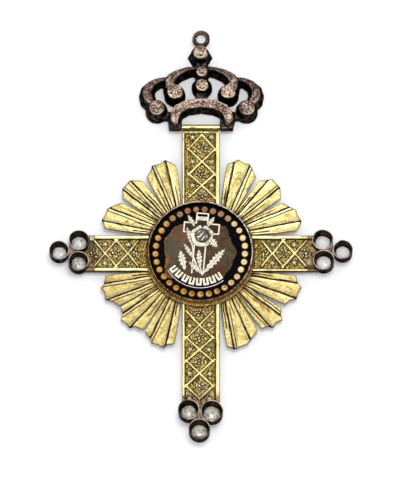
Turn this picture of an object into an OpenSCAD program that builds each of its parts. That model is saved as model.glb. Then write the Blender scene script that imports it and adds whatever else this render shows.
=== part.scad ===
// Breast jewel: a rayed cross with a round medallion, hung from a crown by a hinge.
// It lies on its back, front up (+Z), with the crown towards +Y. Millimetres.
// The pieces are laid out from the crossing of the arms, then moved by frame_y
// so that the origin is the middle of the whole box, at the resting plane.

/* [Cross] */
// Width of each arm over its rails
arm_w = 9; // [8.6:0.05:9.1]
// Distance from the crossing to the outer end of the side arms
side_reach = 28.3; // [28:0.1:28.6]
// Distance from the crossing to the lower end of the bottom arm
foot_reach = 38.6; // [38.2:0.1:38.8]
// Distance from the crossing to the hinge axis at the top
hinge_reach = 31.9; // [31.6:0.1:32.2]
// Distance from the crossing to the inner end of each arm, under the medallion
arm_root = 8.2; // [8:0.1:9]
// Width of the plain rail along each side of an arm
rail_w = 0.85; // [0.6:0.05:1]
// Width of the lattice ribs
rib_w = 0.38; // [0.3:0.02:0.5]
// Sideways reach of the lattice points from the middle of an arm
lattice_half = 3.2; // [2.8:0.1:3.3]

/* [Heights] */
// Underside of the arms and settings
arm_back = 1.4; // [1.2:0.1:1.6]
// Sunk ground of the arms, between the ribs
arm_ground = 2.35; // [2.2:0.05:2.45]
// Top of the rails
arm_face = 2.8; // [2.75:0.05:2.85]
// Top of the lattice ribs, florets and stars
rib_face = 2.7; // [2.6:0.05:2.75]
// Crest of the pleats in the rays
ray_crest = 2.6; // [2.4:0.05:2.65]
// Top of the medallion's polished disc
disc_face = 4.7; // [4.5:0.05:4.9]
// Top of the bezel's rim
rim_face = 5.6; // [5.4:0.05:5.8]
// Top of the stone settings
collet_face = 5; // [4.8:0.1:5.2]

/* [Rays] */
// Radius of the notched edges of the rays
ray_edge_r = 23.3; // [23:0.1:23.6]
// Radius of the longest points of the rays
ray_tip_r = 25.5; // [25.2:0.1:25.8]
// Thickness of the pleated sheet
sheet = 0.45; // [0.35:0.05:0.55]
// Depth of a wide flute at its outer end
flute_depth = 0.45; // [0.3:0.05:0.55]

/* [Medallion] */
// Outer radius of the bezel's foot
bezel_r = 13.2; // [13:0.05:13.4]
// Radius of the polished disc
disc_r = 12.1; // [12:0.05:12.1]
// Radius of the ring of studs
stud_ring_r = 10.76; // [10.6:0.02:10.9]
// Radius of one stud
stud_r = 0.83; // [0.7:0.01:0.88]
// Number of studs
stud_count = 33; // [24:1:36]
// Raised height of the inlaid emblem
inlay = 0.3; // [0.2:0.05:0.35]

/* [Settings] */
// Wall at the rim of a stone setting
collet_wall = 0.24; // [0.2:0.02:0.3]
// Depth of a stone's table below the rim
stone_sunk = 2.25; // [2:0.05:2.3]

/* [Crown] */
// Height of the faces of the four balls
ball_face = 4.8; // [4.6:0.1:5]
// Height of the face of the top finial
finial_face = 5.2; // [5:0.1:5.2]
// Radius of the hinge pin
pin_r = 0.4; // [0.35:0.01:0.42]
// Running clearance round the hinge pin
pin_gap = 0.03; // [0.02:0.01:0.05]
// Radius of the arm's rolled hinge barrel
barrel_r = 0.85; // [0.8:0.01:0.86]
// Hole radius of the hanging eye
eye_hole_r = 1.22; // [1.1:0.02:1.3]
// Outer radius of the hanging eye
eye_r = 2.08; // [2:0.02:2.12]

/* [Hidden] */
$fn = 48;

gold = "khaki";
old_silver = "dimgray";
paste = "gainsboro";
cream = "ivory";

// Small gap between pieces that are not soldered into one solid
seat = 0.05;
// Overlap that fuses the parts of one solid
weld = 0.05;

eye_at = [0, 54.55];
eye_mid = 1.6;
eye_height = 1.3;
eye_round = 0.25;

// Stone settings of each trefoil: x, y and outer radius of the rim
LEFT_TREFOIL = [[-29.3, 2.6, 2.5], [-29.35, -2.65, 2.5], [-34, 0.05, 2.42]];
RIGHT_TREFOIL = [[29.2, 2.7, 2.56], [29.45, -2.4, 2.56], [34, 0.2, 2.42]];
BOTTOM_TREFOIL = [[-2.93, -39.95, 2.58], [2.6, -40.3, 2.72], [-0.38, -44.8, 2.6]];

far_top = eye_at[1] + eye_r;
far_bottom = BOTTOM_TREFOIL[2][1] - BOTTOM_TREFOIL[2][2];
frame_y = -(far_top + far_bottom) / 2;

module placed() {
    translate([0, frame_y, 0]) children();
}

function polar(r, a) = [r * cos(a), r * sin(a)];
function mix(a, b, t) = a + (b - a) * t;

// Arms

// Lattice stations along each arm, measured from the crossing: the ribs zigzag
// between the sides and the middle line, one station after the other. The top
// arm's first station lies on the middle line, the others' at the sides.
TOP_STATIONS = [30, 26.4, 23.2, 20, 17.25, 14];
BOTTOM_STATIONS = [14.5, 18.05, 21.2, 24.2, 27, 30.15, 33.3, 36.6];
LEFT_STATIONS = [15.1, 17.5, 20.35, 23.05, 25.3];
RIGHT_STATIONS = [14.5, 17.15, 19.7, 22.5, 25.2];

floret_r = 0.76;
grain_r = 0.3;
star_r = 0.55;
star_waist = 0.4;
star_out = 2.3;

module rib(from, to) {
    run = to - from;
    translate([from[0], from[1], arm_ground - weld])
        rotate([0, 0, atan2(run[1], run[0])])
            translate([0, -rib_w / 2, 0])
                cube([norm(run), rib_w, rib_face - arm_ground + weld]);
}

module grain() {
    translate([0, 0, arm_ground - weld])
        cylinder(h = rib_face - arm_ground, r1 = grain_r, r2 = grain_r * 0.7);
}

module floret() {
    grain();
    for (i = [0 : 5]) rotate([0, 0, 60 * i + 15]) translate([floret_r, 0, 0]) grain();
}

module star() {
    rim = [for (i = [0 : 7]) polar(i % 2 == 0 ? star_r : star_r * star_waist, 45 * i)];
    translate([0, 0, arm_ground - weld])
        linear_extrude(rib_face - arm_ground + weld) polygon(rim);
}

// Zigzag of ribs with florets in the lozenges and stars beside the crossings
module lattice(stations, middle_first) {
    on_middle = middle_first ? 0 : 1;
    for (i = [0 : len(stations) - 2]) {
        from_middle = i % 2 == on_middle;
        for (side = [-1, 1]) {
            from = [from_middle ? 0 : side * lattice_half, stations[i]];
            to = [from_middle ? side * lattice_half : 0, stations[i + 1]];
            rib(from, to);
        }
    }
    for (i = [0 : len(stations) - 1]) {
        if (i % 2 == on_middle)
            for (side = [-1, 1])
                translate([side * star_out, stations[i] + (middle_first && i == 0 ? 0.4 : 0), 0]) star();
        else
            translate([0, stations[i], 0]) floret();
    }
}

// One arm laid along +Y; relief that runs past its ends is trimmed
module arm_strip(stations, reach, middle_first = false) {
    translate([-arm_w / 2, arm_root, arm_back])
        cube([arm_w, reach - arm_root, arm_ground - arm_back]);
    for (side = [-1, 1])
        translate([side * (arm_w - rail_w) / 2 - rail_w / 2, arm_root, arm_back])
            cube([rail_w, reach - arm_root, arm_face - arm_back]);
    intersection() {
        lattice(stations, middle_first);
        translate([-arm_w / 2 + rail_w / 2, arm_root, arm_back])
            cube([arm_w - rail_w, reach - arm_root - 0.4, arm_face - arm_back]);
    }
}

// Room cut from an arm's end for the settings that stand against it
module setting_room(trefoil) {
    for (s = trefoil)
        translate([s[0], s[1], arm_back - 1])
            cylinder(h = collet_face, r = s[2] + seat);
}

module arm_side(stations, trefoil, turn) {
    color(gold) placed() difference() {
        rotate([0, 0, turn]) arm_strip(stations, side_reach);
        setting_room(trefoil);
    }
}

module arm_left() {
    arm_side(LEFT_STATIONS, LEFT_TREFOIL, 90);
}

module arm_right() {
    arm_side(RIGHT_STATIONS, RIGHT_TREFOIL, -90);
}

module arm_bottom() {
    color(gold) placed() difference() {
        rotate([0, 0, 180]) arm_strip(BOTTOM_STATIONS, foot_reach);
        setting_room(BOTTOM_TREFOIL);
    }
}

hinge_z = arm_face - barrel_r;
pin_bore_r = pin_r + pin_gap;

module along_x(length, radius) {
    translate([-length / 2, hinge_reach, hinge_z])
        rotate([0, 90, 0]) cylinder(h = length, r = radius);
}

// The top arm ends in a rolled barrel that turns on the crown's pin
module arm_top() {
    color(gold) placed() difference() {
        union() {
            arm_strip(TOP_STATIONS, hinge_reach - barrel_r - 0.15, true);
            translate([-arm_w / 2, hinge_reach - barrel_r - 0.4, arm_back])
                cube([arm_w, barrel_r + 0.4, arm_ground - arm_back]);
            along_x(arm_w, barrel_r);
        }
        along_x(arm_w + 1, pin_bore_r);
    }
}

// Rays

// Each lobe of the star: angles at the rim of its first edge, its two crests
// and its last edge. Three lobes make a quadrant.
RIGHT_UPPER_LOBES = [[13.9, 19.3, 28.9, 32.8], [35.7, 41.5, 48.5, 52.4], [55.9, 62, 71.2, 74.8]];
LEFT_UPPER_LOBES = [[104.6, 110.2, 118.2, 123.8], [127.5, 132.6, 139, 143.6], [146.6, 151.6, 160.2, 164.8]];
LEFT_LOWER_LOBES = [[193.3, 198.1, 207.2, 213], [213.8, 218.8, 226.8, 233.4], [235.3, 240.3, 249.1, 255.1]];
RIGHT_LOWER_LOBES = [[284.8, 288.5, 298.6, 305.1], [307.4, 312.2, 320.7, 324.4], [328, 333.6, 342.2, 346.7]];

ray_crest_r = 24.4;
ray_hollow_r = 25;
ray_inner_r = 10.8;
ray_close_r = 14.2;
// The creases of a quadrant aim at a point this far out from the crossing
fan_shift = 6.2;
fan_gap = 0.25;
SIDE_STEPS = 4;
WIDE_STEPS = 6;

// Point at distance r from the crossing, on the crease that reaches the rim at angle a
function fan_point(a, diagonal, r) =
    let (
        apex = polar(fan_shift, diagonal),
        out = polar(ray_crest_r, a) - apex,
        run = out / norm(out),
        along = apex * run,
        reach = -along + sqrt(along * along + r * r - fan_shift * fan_shift)
    )
    apex + run * reach;

// Stations across a lobe: [angle at the rim, angle further in, outer radius, drop below the crest]
function flute(a, b, in_a, in_b, steps, depth, r_ends, r_mid) = [
    for (i = [0 : steps])
        let (t = i / steps)
        [mix(a, b, t), mix(in_a, in_b, t), mix(r_ends[0], r_ends[1], t) + r_mid * sin(180 * t), depth * sin(180 * t)]
];

function lobe_stations(lobe, in_first, in_last) =
    let (
        corner = 1.2,
        narrow = flute_depth * 0.6,
        first = flute(lobe[0], lobe[1], in_first, lobe[1], SIDE_STEPS, narrow, [ray_edge_r, ray_crest_r], 0),
        wide = flute(lobe[1] + corner, lobe[2] - corner, lobe[1] + corner, lobe[2] - corner,
            WIDE_STEPS, flute_depth, [ray_tip_r, ray_tip_r], ray_hollow_r - ray_tip_r),
        last = flute(lobe[2], lobe[3], lobe[2], in_last, SIDE_STEPS, narrow, [ray_crest_r, ray_edge_r], 0)
    )
    concat(first, wide, last);

// One lobe as a folded sheet: three rings of stations, top and underside
module lobe(lobe, in_first, in_last, diagonal) {
    row = lobe_stations(lobe, in_first, in_last);
    n = len(row);
    rings = [
        [for (s = row) concat(fan_point(s[1], diagonal, ray_inner_r), ray_crest - s[3] * 0.3)],
        [for (s = row) concat(fan_point(s[1], diagonal, ray_close_r), ray_crest - s[3] * 0.45)],
        [for (s = row) concat(fan_point(s[0], diagonal, s[2]), ray_crest - s[3])]
    ];
    top = [for (ring = rings) each ring];
    under = [for (p = top) p - [0, 0, sheet]];
    m = 3 * n;
    points = concat(top, under);
    faces = concat(
        [for (k = [0 : 1], i = [0 : n - 2]) each [
            [k * n + i, k * n + i + 1, (k + 1) * n + i],
            [k * n + i + 1, (k + 1) * n + i + 1, (k + 1) * n + i]]],
        [for (k = [0 : 1], i = [0 : n - 2]) each [
            [m + k * n + i + 1, m + k * n + i, m + (k + 1) * n + i],
            [m + (k + 1) * n + i + 1, m + k * n + i + 1, m + (k + 1) * n + i]]],
        [for (i = [0 : n - 2]) each [
            [i + 1, i, m + i],
            [m + i + 1, i + 1, m + i]]],
        [for (i = [0 : n - 2]) each [
            [2 * n + i, 2 * n + i + 1, m + 2 * n + i],
            [2 * n + i + 1, m + 2 * n + i + 1, m + 2 * n + i]]],
        [for (k = [0 : 1]) each [
            [k * n, (k + 1) * n, m + k * n],
            [(k + 1) * n, m + (k + 1) * n, m + k * n]]],
        [for (k = [0 : 1]) each [
            [(k + 1) * n + n - 1, k * n + n - 1, m + k * n + n - 1],
            [m + (k + 1) * n + n - 1, (k + 1) * n + n - 1, m + k * n + n - 1]]]
    );
    polyhedron(points, faces);
}

// Flat web under the bezel that joins the three lobes of a quadrant
module ray_web(first, last, diagonal) {
    steps = 8;
    arc = [for (i = [0 : steps]) mix(first + 0.6, last - 0.6, i / steps)];
    inner = [for (a = arc) fan_point(a, diagonal, ray_inner_r)];
    outer = [for (i = [steps : -1 : 0]) fan_point(arc[i], diagonal, bezel_r - 1)];
    translate([0, 0, ray_crest - flute_depth - sheet])
        linear_extrude(sheet) polygon(concat(inner, outer));
}

module quadrant(lobes, diagonal) {
    color(gold) placed() {
        for (i = [0 : 2]) {
            in_first = i == 0 ? lobes[0][0] : (lobes[i - 1][3] + lobes[i][0] + fan_gap) / 2;
            in_last = i == 2 ? lobes[2][3] : (lobes[i][3] + lobes[i + 1][0] - fan_gap) / 2;
            lobe(lobes[i], in_first, in_last, diagonal);
        }
        ray_web(lobes[0][0], lobes[2][3], diagonal);
    }
}

module rays_upper_right() {
    quadrant(RIGHT_UPPER_LOBES, 45);
}

module rays_upper_left() {
    quadrant(LEFT_UPPER_LOBES, 135);
}

module rays_lower_left() {
    quadrant(LEFT_LOWER_LOBES, 225);
}

module rays_lower_right() {
    quadrant(RIGHT_LOWER_LOBES, 315);
}

// Medallion

medallion_at = [-0.15, -0.4, 0];
back_r = 11;
core_r = 7.6;
bezel_foot = arm_face + seat;
disc_thick = 1.7;

module medallion() {
    placed() translate(medallion_at) children();
}

// Plain back: a flat disc to lie on and a core that carries the medallion
module case_back() {
    color(gold) medallion() rotate_extrude() polygon([
        [0, 0], [back_r - 0.4, 0], [back_r, 0.4], [back_r, arm_back - seat],
        [core_r, arm_back - seat], [core_r, bezel_foot], [0, bezel_foot]]);
}

// Ring with a spreading foot, a hollow side and a rolled rim
module bezel() {
    rim = rim_face - 0.25;
    color("sienna") medallion() rotate_extrude() polygon([
        [disc_r + seat, bezel_foot], [bezel_r, bezel_foot], [bezel_r, bezel_foot + 0.45],
        [bezel_r - 0.2, bezel_foot + 0.7], [bezel_r - 0.42, bezel_foot + 1.3], [bezel_r - 0.5, rim - 0.15],
        [bezel_r - 0.52, rim + 0.1], [bezel_r - 0.68, rim_face], [bezel_r - 0.85, rim_face],
        [disc_r + seat, rim]]);
}

// Polished disc of dark shell
module shell_disc() {
    color("black") medallion() translate([0, 0, disc_face - disc_thick])
        cylinder(h = disc_thick, r = disc_r);
}

// Domed studs set round the disc
module stud_ring() {
    dome = [for (i = [0 : 4]) [stud_r * cos(22.5 * i), 0.12 + 0.38 * sin(22.5 * i)]];
    color("goldenrod") medallion() for (i = [0 : stud_count - 1])
        rotate([0, 0, 360 * i / stud_count + 8.2])
            translate([stud_ring_r, 0, disc_face])
                rotate_extrude() polygon(concat([[0, 0], [stud_r, 0]], dome));
}

// Emblem in thin cream inlay on the disc

cross_at = [0.28, 6.05];
cross_lean = -5;
cross_half = 1.5;
cross_arm = 4.35;
cross_up = 3.85;
cross_down = 11.5;
stroke = 0.33;
rose_at = [0.41, 4.05];
rose_r = 2.75;
bloom_r = 1.38;
rose_clear = 0.12;

// Leaves: x and y of the stalk end, x and y of the tip, half width, teeth on a side
LEAVES = [
    [-1.5, 7.2, -2.75, 9.4, 0.38, 3],
    [2.25, 7.25, 3.65, 8.9, 0.36, 3],
    [2.6, 3.3, 4.35, 1.5, 0.5, 4],
    [-1.95, 1.7, -3.2, 5.8, 0.42, 5],
    [-1.6, -1.6, -3.85, 1.95, 0.4, 5],
    [-0.1, -3.7, -0.4, 0.4, 0.58, 5],
    [1, -5, 5.6, 0.45, 0.75, 7],
    [-3.7, -4.1, -4.68, -0.1, 0.72, 5],
    [0.2, -5.35, -2.55, -2.75, 0.5, 5]
];

// Stalks as chains of short bars, all from the foot of the spray
STALKS = [
    [[0.45, -5.7], [-0.9, -3.3], [-1.75, -0.8], [-1.95, 2]],
    [[-1.15, -3], [-1.65, -1.4]],
    [[0.45, -5.7], [-0.1, -3.4]],
    [[0.45, -5.7], [1.3, -4.6]],
    [[0.45, -5.7], [-0.2, -5]]
];
stalk_w = 0.24;
leaf_clear = 0.12;

module cross_outline(inset, from = -cross_down) {
    translate(cross_at) rotate([0, 0, cross_lean]) {
        translate([-cross_half + inset, from + inset])
            square([2 * (cross_half - inset), cross_up - from - 2 * inset]);
        translate([-cross_arm + inset, -1.33 + inset])
            square([2 * (cross_arm - inset), 2 * (1.33 - inset)]);
    }
}

// Saw-toothed leaf outline; grow widens it for a cutter
function leaf_rim(leaf, grow) =
    let (
        base = [leaf[0], leaf[1]],
        run = [leaf[2], leaf[3]] - base,
        across = [-run[1], run[0]] / norm(run),
        teeth = leaf[5],
        swell = [for (i = [0 : 2 * teeth]) let (t = i / (2 * teeth))
            (leaf[4] * (i % 2 == 1 ? 1 : 0.62) + grow) * sin(180 * pow(t * 0.94 + 0.05, 0.8))],
        slant = [for (i = [0 : 2 * teeth]) (i + (i % 2 == 1 ? 0.55 : 0)) / (2 * teeth + 0.55)]
    )
    concat(
        [for (i = [0 : 2 * teeth]) base + run * slant[i] + across * swell[i]],
        [base + run * (1 + grow / norm(run))],
        [for (i = [2 * teeth : -1 : 0]) base + run * slant[i] - across * swell[i]]
    );

module stalk_bars(grow) {
    for (stalk = STALKS, i = [0 : len(stalk) - 2]) {
        run = stalk[i + 1] - stalk[i];
        translate(stalk[i]) rotate([0, 0, atan2(run[1], run[0])])
            translate([-0.08 - grow, -stalk_w / 2 - grow])
                square([norm(run) + 0.16 + 2 * grow, stalk_w + 2 * grow]);
    }
}

// Each leaf is a piece of its own, a hair away from the stalks
module leaves_outline(grow) {
    difference() {
        for (leaf = LEAVES) polygon(leaf_rim(leaf, grow));
        if (grow == 0) stalk_bars(leaf_clear);
    }
    stalk_bars(grow);
}

// Hollow-sided cross with a bare label plate across its head
module emblem_cross() {
    color(cream) medallion() translate([0, 0, disc_face]) linear_extrude(inlay * 0.7)
        difference() {
            union() {
                difference() {
                    cross_outline(0);
                    cross_outline(stroke, -cross_down - 1);
                }
                translate(cross_at) rotate([0, 0, cross_lean])
                    translate([-cross_half, 1.9]) square([2 * cross_half, 1]);
            }
            translate(rose_at) circle(r = rose_r + 0.08);
            leaves_outline(0.1);
            steps_outline(0.12);
        }
}

// Open rose: a notched outer ring of petals and a round bloom
module emblem_rose() {
    color(cream) medallion() translate([rose_at[0], rose_at[1], disc_face]) {
        linear_extrude(inlay) difference() {
            circle(r = rose_r);
            circle(r = bloom_r + rose_clear);
            translate([0.1, rose_r + 0.15]) circle(r = 0.55);
        }
        rotate_extrude() polygon([[0, 0], [bloom_r, 0], [bloom_r, 0.12], [bloom_r * 0.85, 0.26],
            [bloom_r * 0.5, 0.38], [0, 0.42]]);
    }
}

module emblem_leaves() {
    color(cream) medallion() translate([0, 0, disc_face]) linear_extrude(inlay * 0.85)
        difference() {
            leaves_outline(0);
            translate(rose_at) circle(r = rose_r + 0.06);
            steps_outline(0.12);
        }
}

step_count = 8;
step_first = 213;
step_turn = 13.2;
step_r = 7.5;
step_w = 1.25;
step_h = 1.85;
step_bar = 0.42;

// Row of small U-shaped blocks along the lower edge
module steps_outline(grow) {
    for (i = [0 : step_count - 1])
        rotate([0, 0, step_first + step_turn * i])
            translate([step_r, 0]) difference() {
                square([step_h + 2 * grow, step_w + 2 * grow], center = true);
                if (grow == 0)
                    translate([-step_bar, 0]) square([step_h, step_w - 2 * step_bar], center = true);
            }
}

module emblem_steps() {
    color(cream) medallion() translate([0, 0, disc_face]) linear_extrude(inlay * 0.9)
        steps_outline(0);
}

// Thin silver line under the blocks
module emblem_line() {
    line_r = 9.03;
    first = 209.5;
    last = 307.8;
    steps = 24;
    width = 0.2;
    rim = [for (i = [0 : steps]) polar(line_r + width / 2, mix(first, last, i / steps))];
    back = [for (i = [steps : -1 : 0]) polar(line_r - width / 2, mix(first, last, i / steps))];
    color("silver") medallion() translate([0, 0, disc_face])
        linear_extrude(inlay * 0.5) polygon(concat(rim, back));
}

// Stone settings

collet_floor = 0.4;
stone_clear = 0.05;
stone_sides = 10;
girdle_drop = 0.5;

function table_z() = collet_face - stone_sunk;

module trefoil_setting(trefoil) {
    color(old_silver) placed() difference() {
        union() {
            for (s = trefoil)
                translate([s[0], s[1], arm_back])
                    cylinder(h = collet_face - arm_back, r1 = s[2] - 0.12, r2 = s[2]);
            translate([0, 0, arm_back]) linear_extrude(collet_face - arm_back - 0.8)
                polygon([for (s = trefoil) [s[0], s[1]]]);
        }
        for (s = trefoil) {
            translate([s[0], s[1], table_z()])
                cylinder(h = stone_sunk + 0.01, r1 = s[2] - 0.62, r2 = s[2] - collet_wall);
            translate([s[0], s[1], arm_back + collet_floor])
                cylinder(h = collet_face - arm_back, r = s[2] - 0.62);
        }
    }
}

module setting_left() {
    trefoil_setting(LEFT_TREFOIL);
}

module setting_right() {
    trefoil_setting(RIGHT_TREFOIL);
}

module setting_bottom() {
    trefoil_setting(BOTTOM_TREFOIL);
}

// Cut stone: table, crown facets and a short facetted base
module stone(s) {
    girdle_r = s[2] - 0.62 - stone_clear;
    table_r = girdle_r * 0.7;
    low = arm_back + collet_floor + stone_clear;
    girdle = table_z() - girdle_drop;
    color(paste) placed() translate([s[0], s[1], 0]) {
        translate([0, 0, girdle])
            cylinder(h = table_z() - girdle, r1 = girdle_r, r2 = table_r, $fn = stone_sides);
        translate([0, 0, low])
            cylinder(h = girdle - low, r1 = girdle_r * 0.6, r2 = girdle_r, $fn = stone_sides);
    }
}

// Crown

crown_x = 0.12;
edge_slope = 0.35;

// Bars of the crown, station by station: x, y, half width of the face,
// half width of the foot, height of the face. The right side is a mirror.
INNER_ARCH = [
    [-0.9, 46.6, 0.3, 1, 4],
    [-3.3, 46.2, 0.36, 1.15, 4.2],
    [-5.4, 45.4, 0.52, 1.35, 4.4],
    [-7.05, 44.3, 0.78, 1.55, 4.5],
    [-7.7, 43, 0.98, 1.65, 4.6],
    [-7.4, 41.7, 1.15, 1.8, 4.7],
    [-6.7, 40.6, 1.2, 1.8, 4.7]
];
OUTER_ARCH = [
    [-8.2, 43.8, 0.32, 1, 4],
    [-10.3, 43.45, 0.42, 1.1, 4.1],
    [-11.85, 42.65, 0.6, 1.35, 4.2],
    [-12.85, 41.4, 0.8, 1.75, 4.3],
    [-13.15, 40.15, 0.95, 1.9, 4.3],
    [-12.85, 38.9, 0.9, 1.9, 4.3],
    [-12.1, 37.9, 0.66, 1.65, 4.3],
    [-11.3, 36.9, 0.7, 1.5, 4.4]
];
BASE_ARCH = [
    [-5.95, 32.15, 0.28, 1.1, 4.1],
    [-6.3, 32.8, 0.7, 1.4, 4.4],
    [-6.5, 33.6, 0.98, 1.5, 4.5],
    [-6.35, 34.6, 1.1, 1.55, 4.6],
    [-5.45, 36, 1.15, 1.55, 4.6],
    [-3.3, 37.1, 1.1, 1.5, 4.6],
    [0, 37.5, 1.05, 1.45, 4.6],
    [3.3, 37.1, 1.1, 1.5, 4.6],
    [5.45, 36, 1.15, 1.55, 4.6],
    [6.35, 34.6, 1.1, 1.55, 4.6],
    [6.5, 33.6, 0.98, 1.5, 4.5],
    [6.3, 32.8, 0.7, 1.4, 4.4],
    [5.95, 32.15, 0.28, 1.1, 4.1]
];

// Round knobs: x, y, radius of the face, radius of the foot, height of the face
KNOBS = [
    [-6.4, 40.3, 1.75, 2.5, 4.8],
    [-10.75, 36.2, 1.8, 2.62, 4.8],
    [6.4, 40.3, 1.7, 2.5, 4.8],
    [10.85, 36.2, 1.8, 2.65, 4.8]
];
STACK = [
    [-0.35, 50.2, 1.55, 2.35, finial_face],
    [0.05, 45.6, 1.25, 1.75, 4.3],
    [0.1, 42.25, 1.42, 2.45, 3.9]
];

// Six-sided body of the finial
finial_r = 3.05;
finial_shoulder = 4.3;

foot_in = 4.65;
foot_out = 7.75;
knuckle_r = 0.78;

// Bar with sloping flanks through the rows of a table
module crown_bar(rows) {
    n = len(rows);
    at = [for (r = rows) [r[0], r[1]]];
    way = [for (i = [0 : n - 1])
        let (d = at[min(i + 1, n - 1)] - at[max(i - 1, 0)]) d / norm(d)];
    out = [for (d = way) [-d[1], d[0]]];
    points = [for (i = [0 : n - 1]) each [
        concat(at[i] + out[i] * rows[i][3], 0),
        concat(at[i] + out[i] * rows[i][3], rows[i][4] * edge_slope),
        concat(at[i] + out[i] * rows[i][2], rows[i][4]),
        concat(at[i] - out[i] * rows[i][2], rows[i][4]),
        concat(at[i] - out[i] * rows[i][3], rows[i][4] * edge_slope),
        concat(at[i] - out[i] * rows[i][3], 0)]];
    faces = concat(
        [[0, 1, 2, 3, 4, 5]],
        [for (i = [0 : n - 2], k = [0 : 5]) each [
            [i * 6 + k, (i + 1) * 6 + k, i * 6 + (k + 1) % 6],
            [i * 6 + (k + 1) % 6, (i + 1) * 6 + k, (i + 1) * 6 + (k + 1) % 6]]],
        [[for (k = [5 : -1 : 0]) (n - 1) * 6 + k]]
    );
    polyhedron(points, faces);
}

module knob(k) {
    translate([k[0], k[1], 0]) {
        cylinder(h = k[4] * edge_slope, r = k[3]);
        translate([0, 0, k[4] * edge_slope])
            cylinder(h = k[4] * (1 - edge_slope), r1 = k[3], r2 = k[2]);
    }
}

// Plain block between two corners on the resting plane
module block(low, high, height) {
    translate([low[0], low[1], 0]) cube([high[0] - low[0], high[1] - low[1], height]);
}

eye_seat = eye_at[1] - eye_r - 0.02;

// The crown is one soldered solid with a knuckle at each foot
module crown() {
    color(old_silver) placed() difference() {
        union() {
            translate([crown_x, 0, 0]) {
                for (turn = [0, 1]) mirror([turn, 0, 0]) {
                    crown_bar(INNER_ARCH);
                    crown_bar(OUTER_ARCH);
                }
                crown_bar(BASE_ARCH);
                for (k = KNOBS) knob(k);
                for (k = STACK) knob(k);
                translate([STACK[0][0], STACK[0][1], 0])
                    cylinder(h = finial_shoulder, r1 = finial_r, r2 = finial_r * 0.62, $fn = 6);
                block([-1.3, 38.2], [1.3, 48.5], 2.6);
                for (side = [-1, 1])
                    translate([side * 8.1, 35, 0]) block([-1, -0.9], [1, 0.9], 2.4);
            }
            for (side = [-1, 1]) {
                middle = side * (foot_in + foot_out) / 2;
                half = (foot_out - foot_in) / 2;
                block([middle - half, hinge_reach], [middle + half, 34.2], 3);
                translate([middle - half, hinge_reach, hinge_z])
                    rotate([0, 90, 0]) cylinder(h = 2 * half, r = knuckle_r);
            }
        }
        along_x(2 * foot_out + 1, pin_bore_r);
        translate([-3, eye_seat, -1]) cube([6, 3, 5]);
    }
}

module hinge_pin() {
    color(old_silver) placed() along_x(2 * foot_out - 0.1, pin_r);
}

// Fixed eye, seated on the flat at the top of the finial
module hanging_eye() {
    half = eye_height / 2;
    color(old_silver) placed() translate([eye_at[0], eye_at[1], eye_mid]) difference() {
        union() {
            rotate_extrude() polygon([
                [eye_hole_r - 0.4, -half], [eye_r - eye_round, -half], [eye_r, eye_round - half],
                [eye_r, half - eye_round], [eye_r - eye_round, half], [eye_hole_r - 0.4, half]]);
            translate([-0.7, eye_seat - eye_at[1] + 0.02, -half]) cube([1.4, 0.5, eye_height]);
        }
        translate([0, 0, -2]) cylinder(h = 4, r = eye_hole_r);
        translate([0, 0, half - 0.25]) cylinder(h = 0.26, r1 = eye_hole_r, r2 = eye_hole_r + 0.26);
        translate([0, 0, -half - 0.01]) cylinder(h = 0.26, r1 = eye_hole_r + 0.26, r2 = eye_hole_r);
    }
}

crown();
hanging_eye();
hinge_pin();
arm_top();
arm_bottom();
arm_left();
arm_right();
rays_upper_left();
rays_upper_right();
rays_lower_left();
rays_lower_right();
case_back();
bezel();
shell_disc();
stud_ring();
emblem_cross();
emblem_rose();
emblem_leaves();
emblem_steps();
emblem_line();
setting_left();
setting_right();
setting_bottom();
stone(LEFT_TREFOIL[0]);  // stone_left_upper
stone(LEFT_TREFOIL[1]);  // stone_left_lower
stone(LEFT_TREFOIL[2]);  // stone_left_tip
stone(RIGHT_TREFOIL[0]);  // stone_right_upper
stone(RIGHT_TREFOIL[1]);  // stone_right_lower
stone(RIGHT_TREFOIL[2]);  // stone_right_tip
stone(BOTTOM_TREFOIL[0]);  // stone_bottom_left
stone(BOTTOM_TREFOIL[1]);  // stone_bottom_right
stone(BOTTOM_TREFOIL[2]);  // stone_bottom_tip
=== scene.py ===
"""Looks of the jewel: worn gilt cross and rays, dark silver crown and collets, inlaid shell disc."""

import math

import bmesh
import bpy
import numpy as np
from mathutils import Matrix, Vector


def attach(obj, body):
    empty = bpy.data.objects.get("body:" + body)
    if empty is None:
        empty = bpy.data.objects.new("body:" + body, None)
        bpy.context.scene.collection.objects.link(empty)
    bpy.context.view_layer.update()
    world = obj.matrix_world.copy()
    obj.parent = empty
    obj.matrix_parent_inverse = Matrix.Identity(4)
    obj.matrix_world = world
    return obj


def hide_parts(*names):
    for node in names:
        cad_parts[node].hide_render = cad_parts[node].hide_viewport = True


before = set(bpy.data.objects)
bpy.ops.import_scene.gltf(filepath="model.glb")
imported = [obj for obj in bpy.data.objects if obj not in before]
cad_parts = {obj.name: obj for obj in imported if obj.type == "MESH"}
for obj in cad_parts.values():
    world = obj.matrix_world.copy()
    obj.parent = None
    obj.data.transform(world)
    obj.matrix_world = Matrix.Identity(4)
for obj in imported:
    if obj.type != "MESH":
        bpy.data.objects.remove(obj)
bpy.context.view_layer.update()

MM = 0.001
# Everything below is in millimetres. The crossing of the arms lies this far up the Y axis.
CROSS_Y = -4.615
MEDALLION = (-0.15, -0.4)

ARM_HALF, ARM_ROOT = 4.5, 8.2
ARM_BACK, ARM_GROUND, ARM_FACE = 1.4, 2.32, 2.8
ARM_PITCH = 0.075
# Rows of an arm's root that lie under the medallion
HIDDEN_ROWS = 48
RIB_RISE, LATTICE_HALF = 0.38, 3.2
HINGE_Y, HINGE_Z, BARREL_R, BORE_R = 31.9, 1.95, 0.85, 0.43
# Lip and groove of the top arm in front of its barrel
LIP_V, GROOVE_V = 30.62, 30.88

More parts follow.
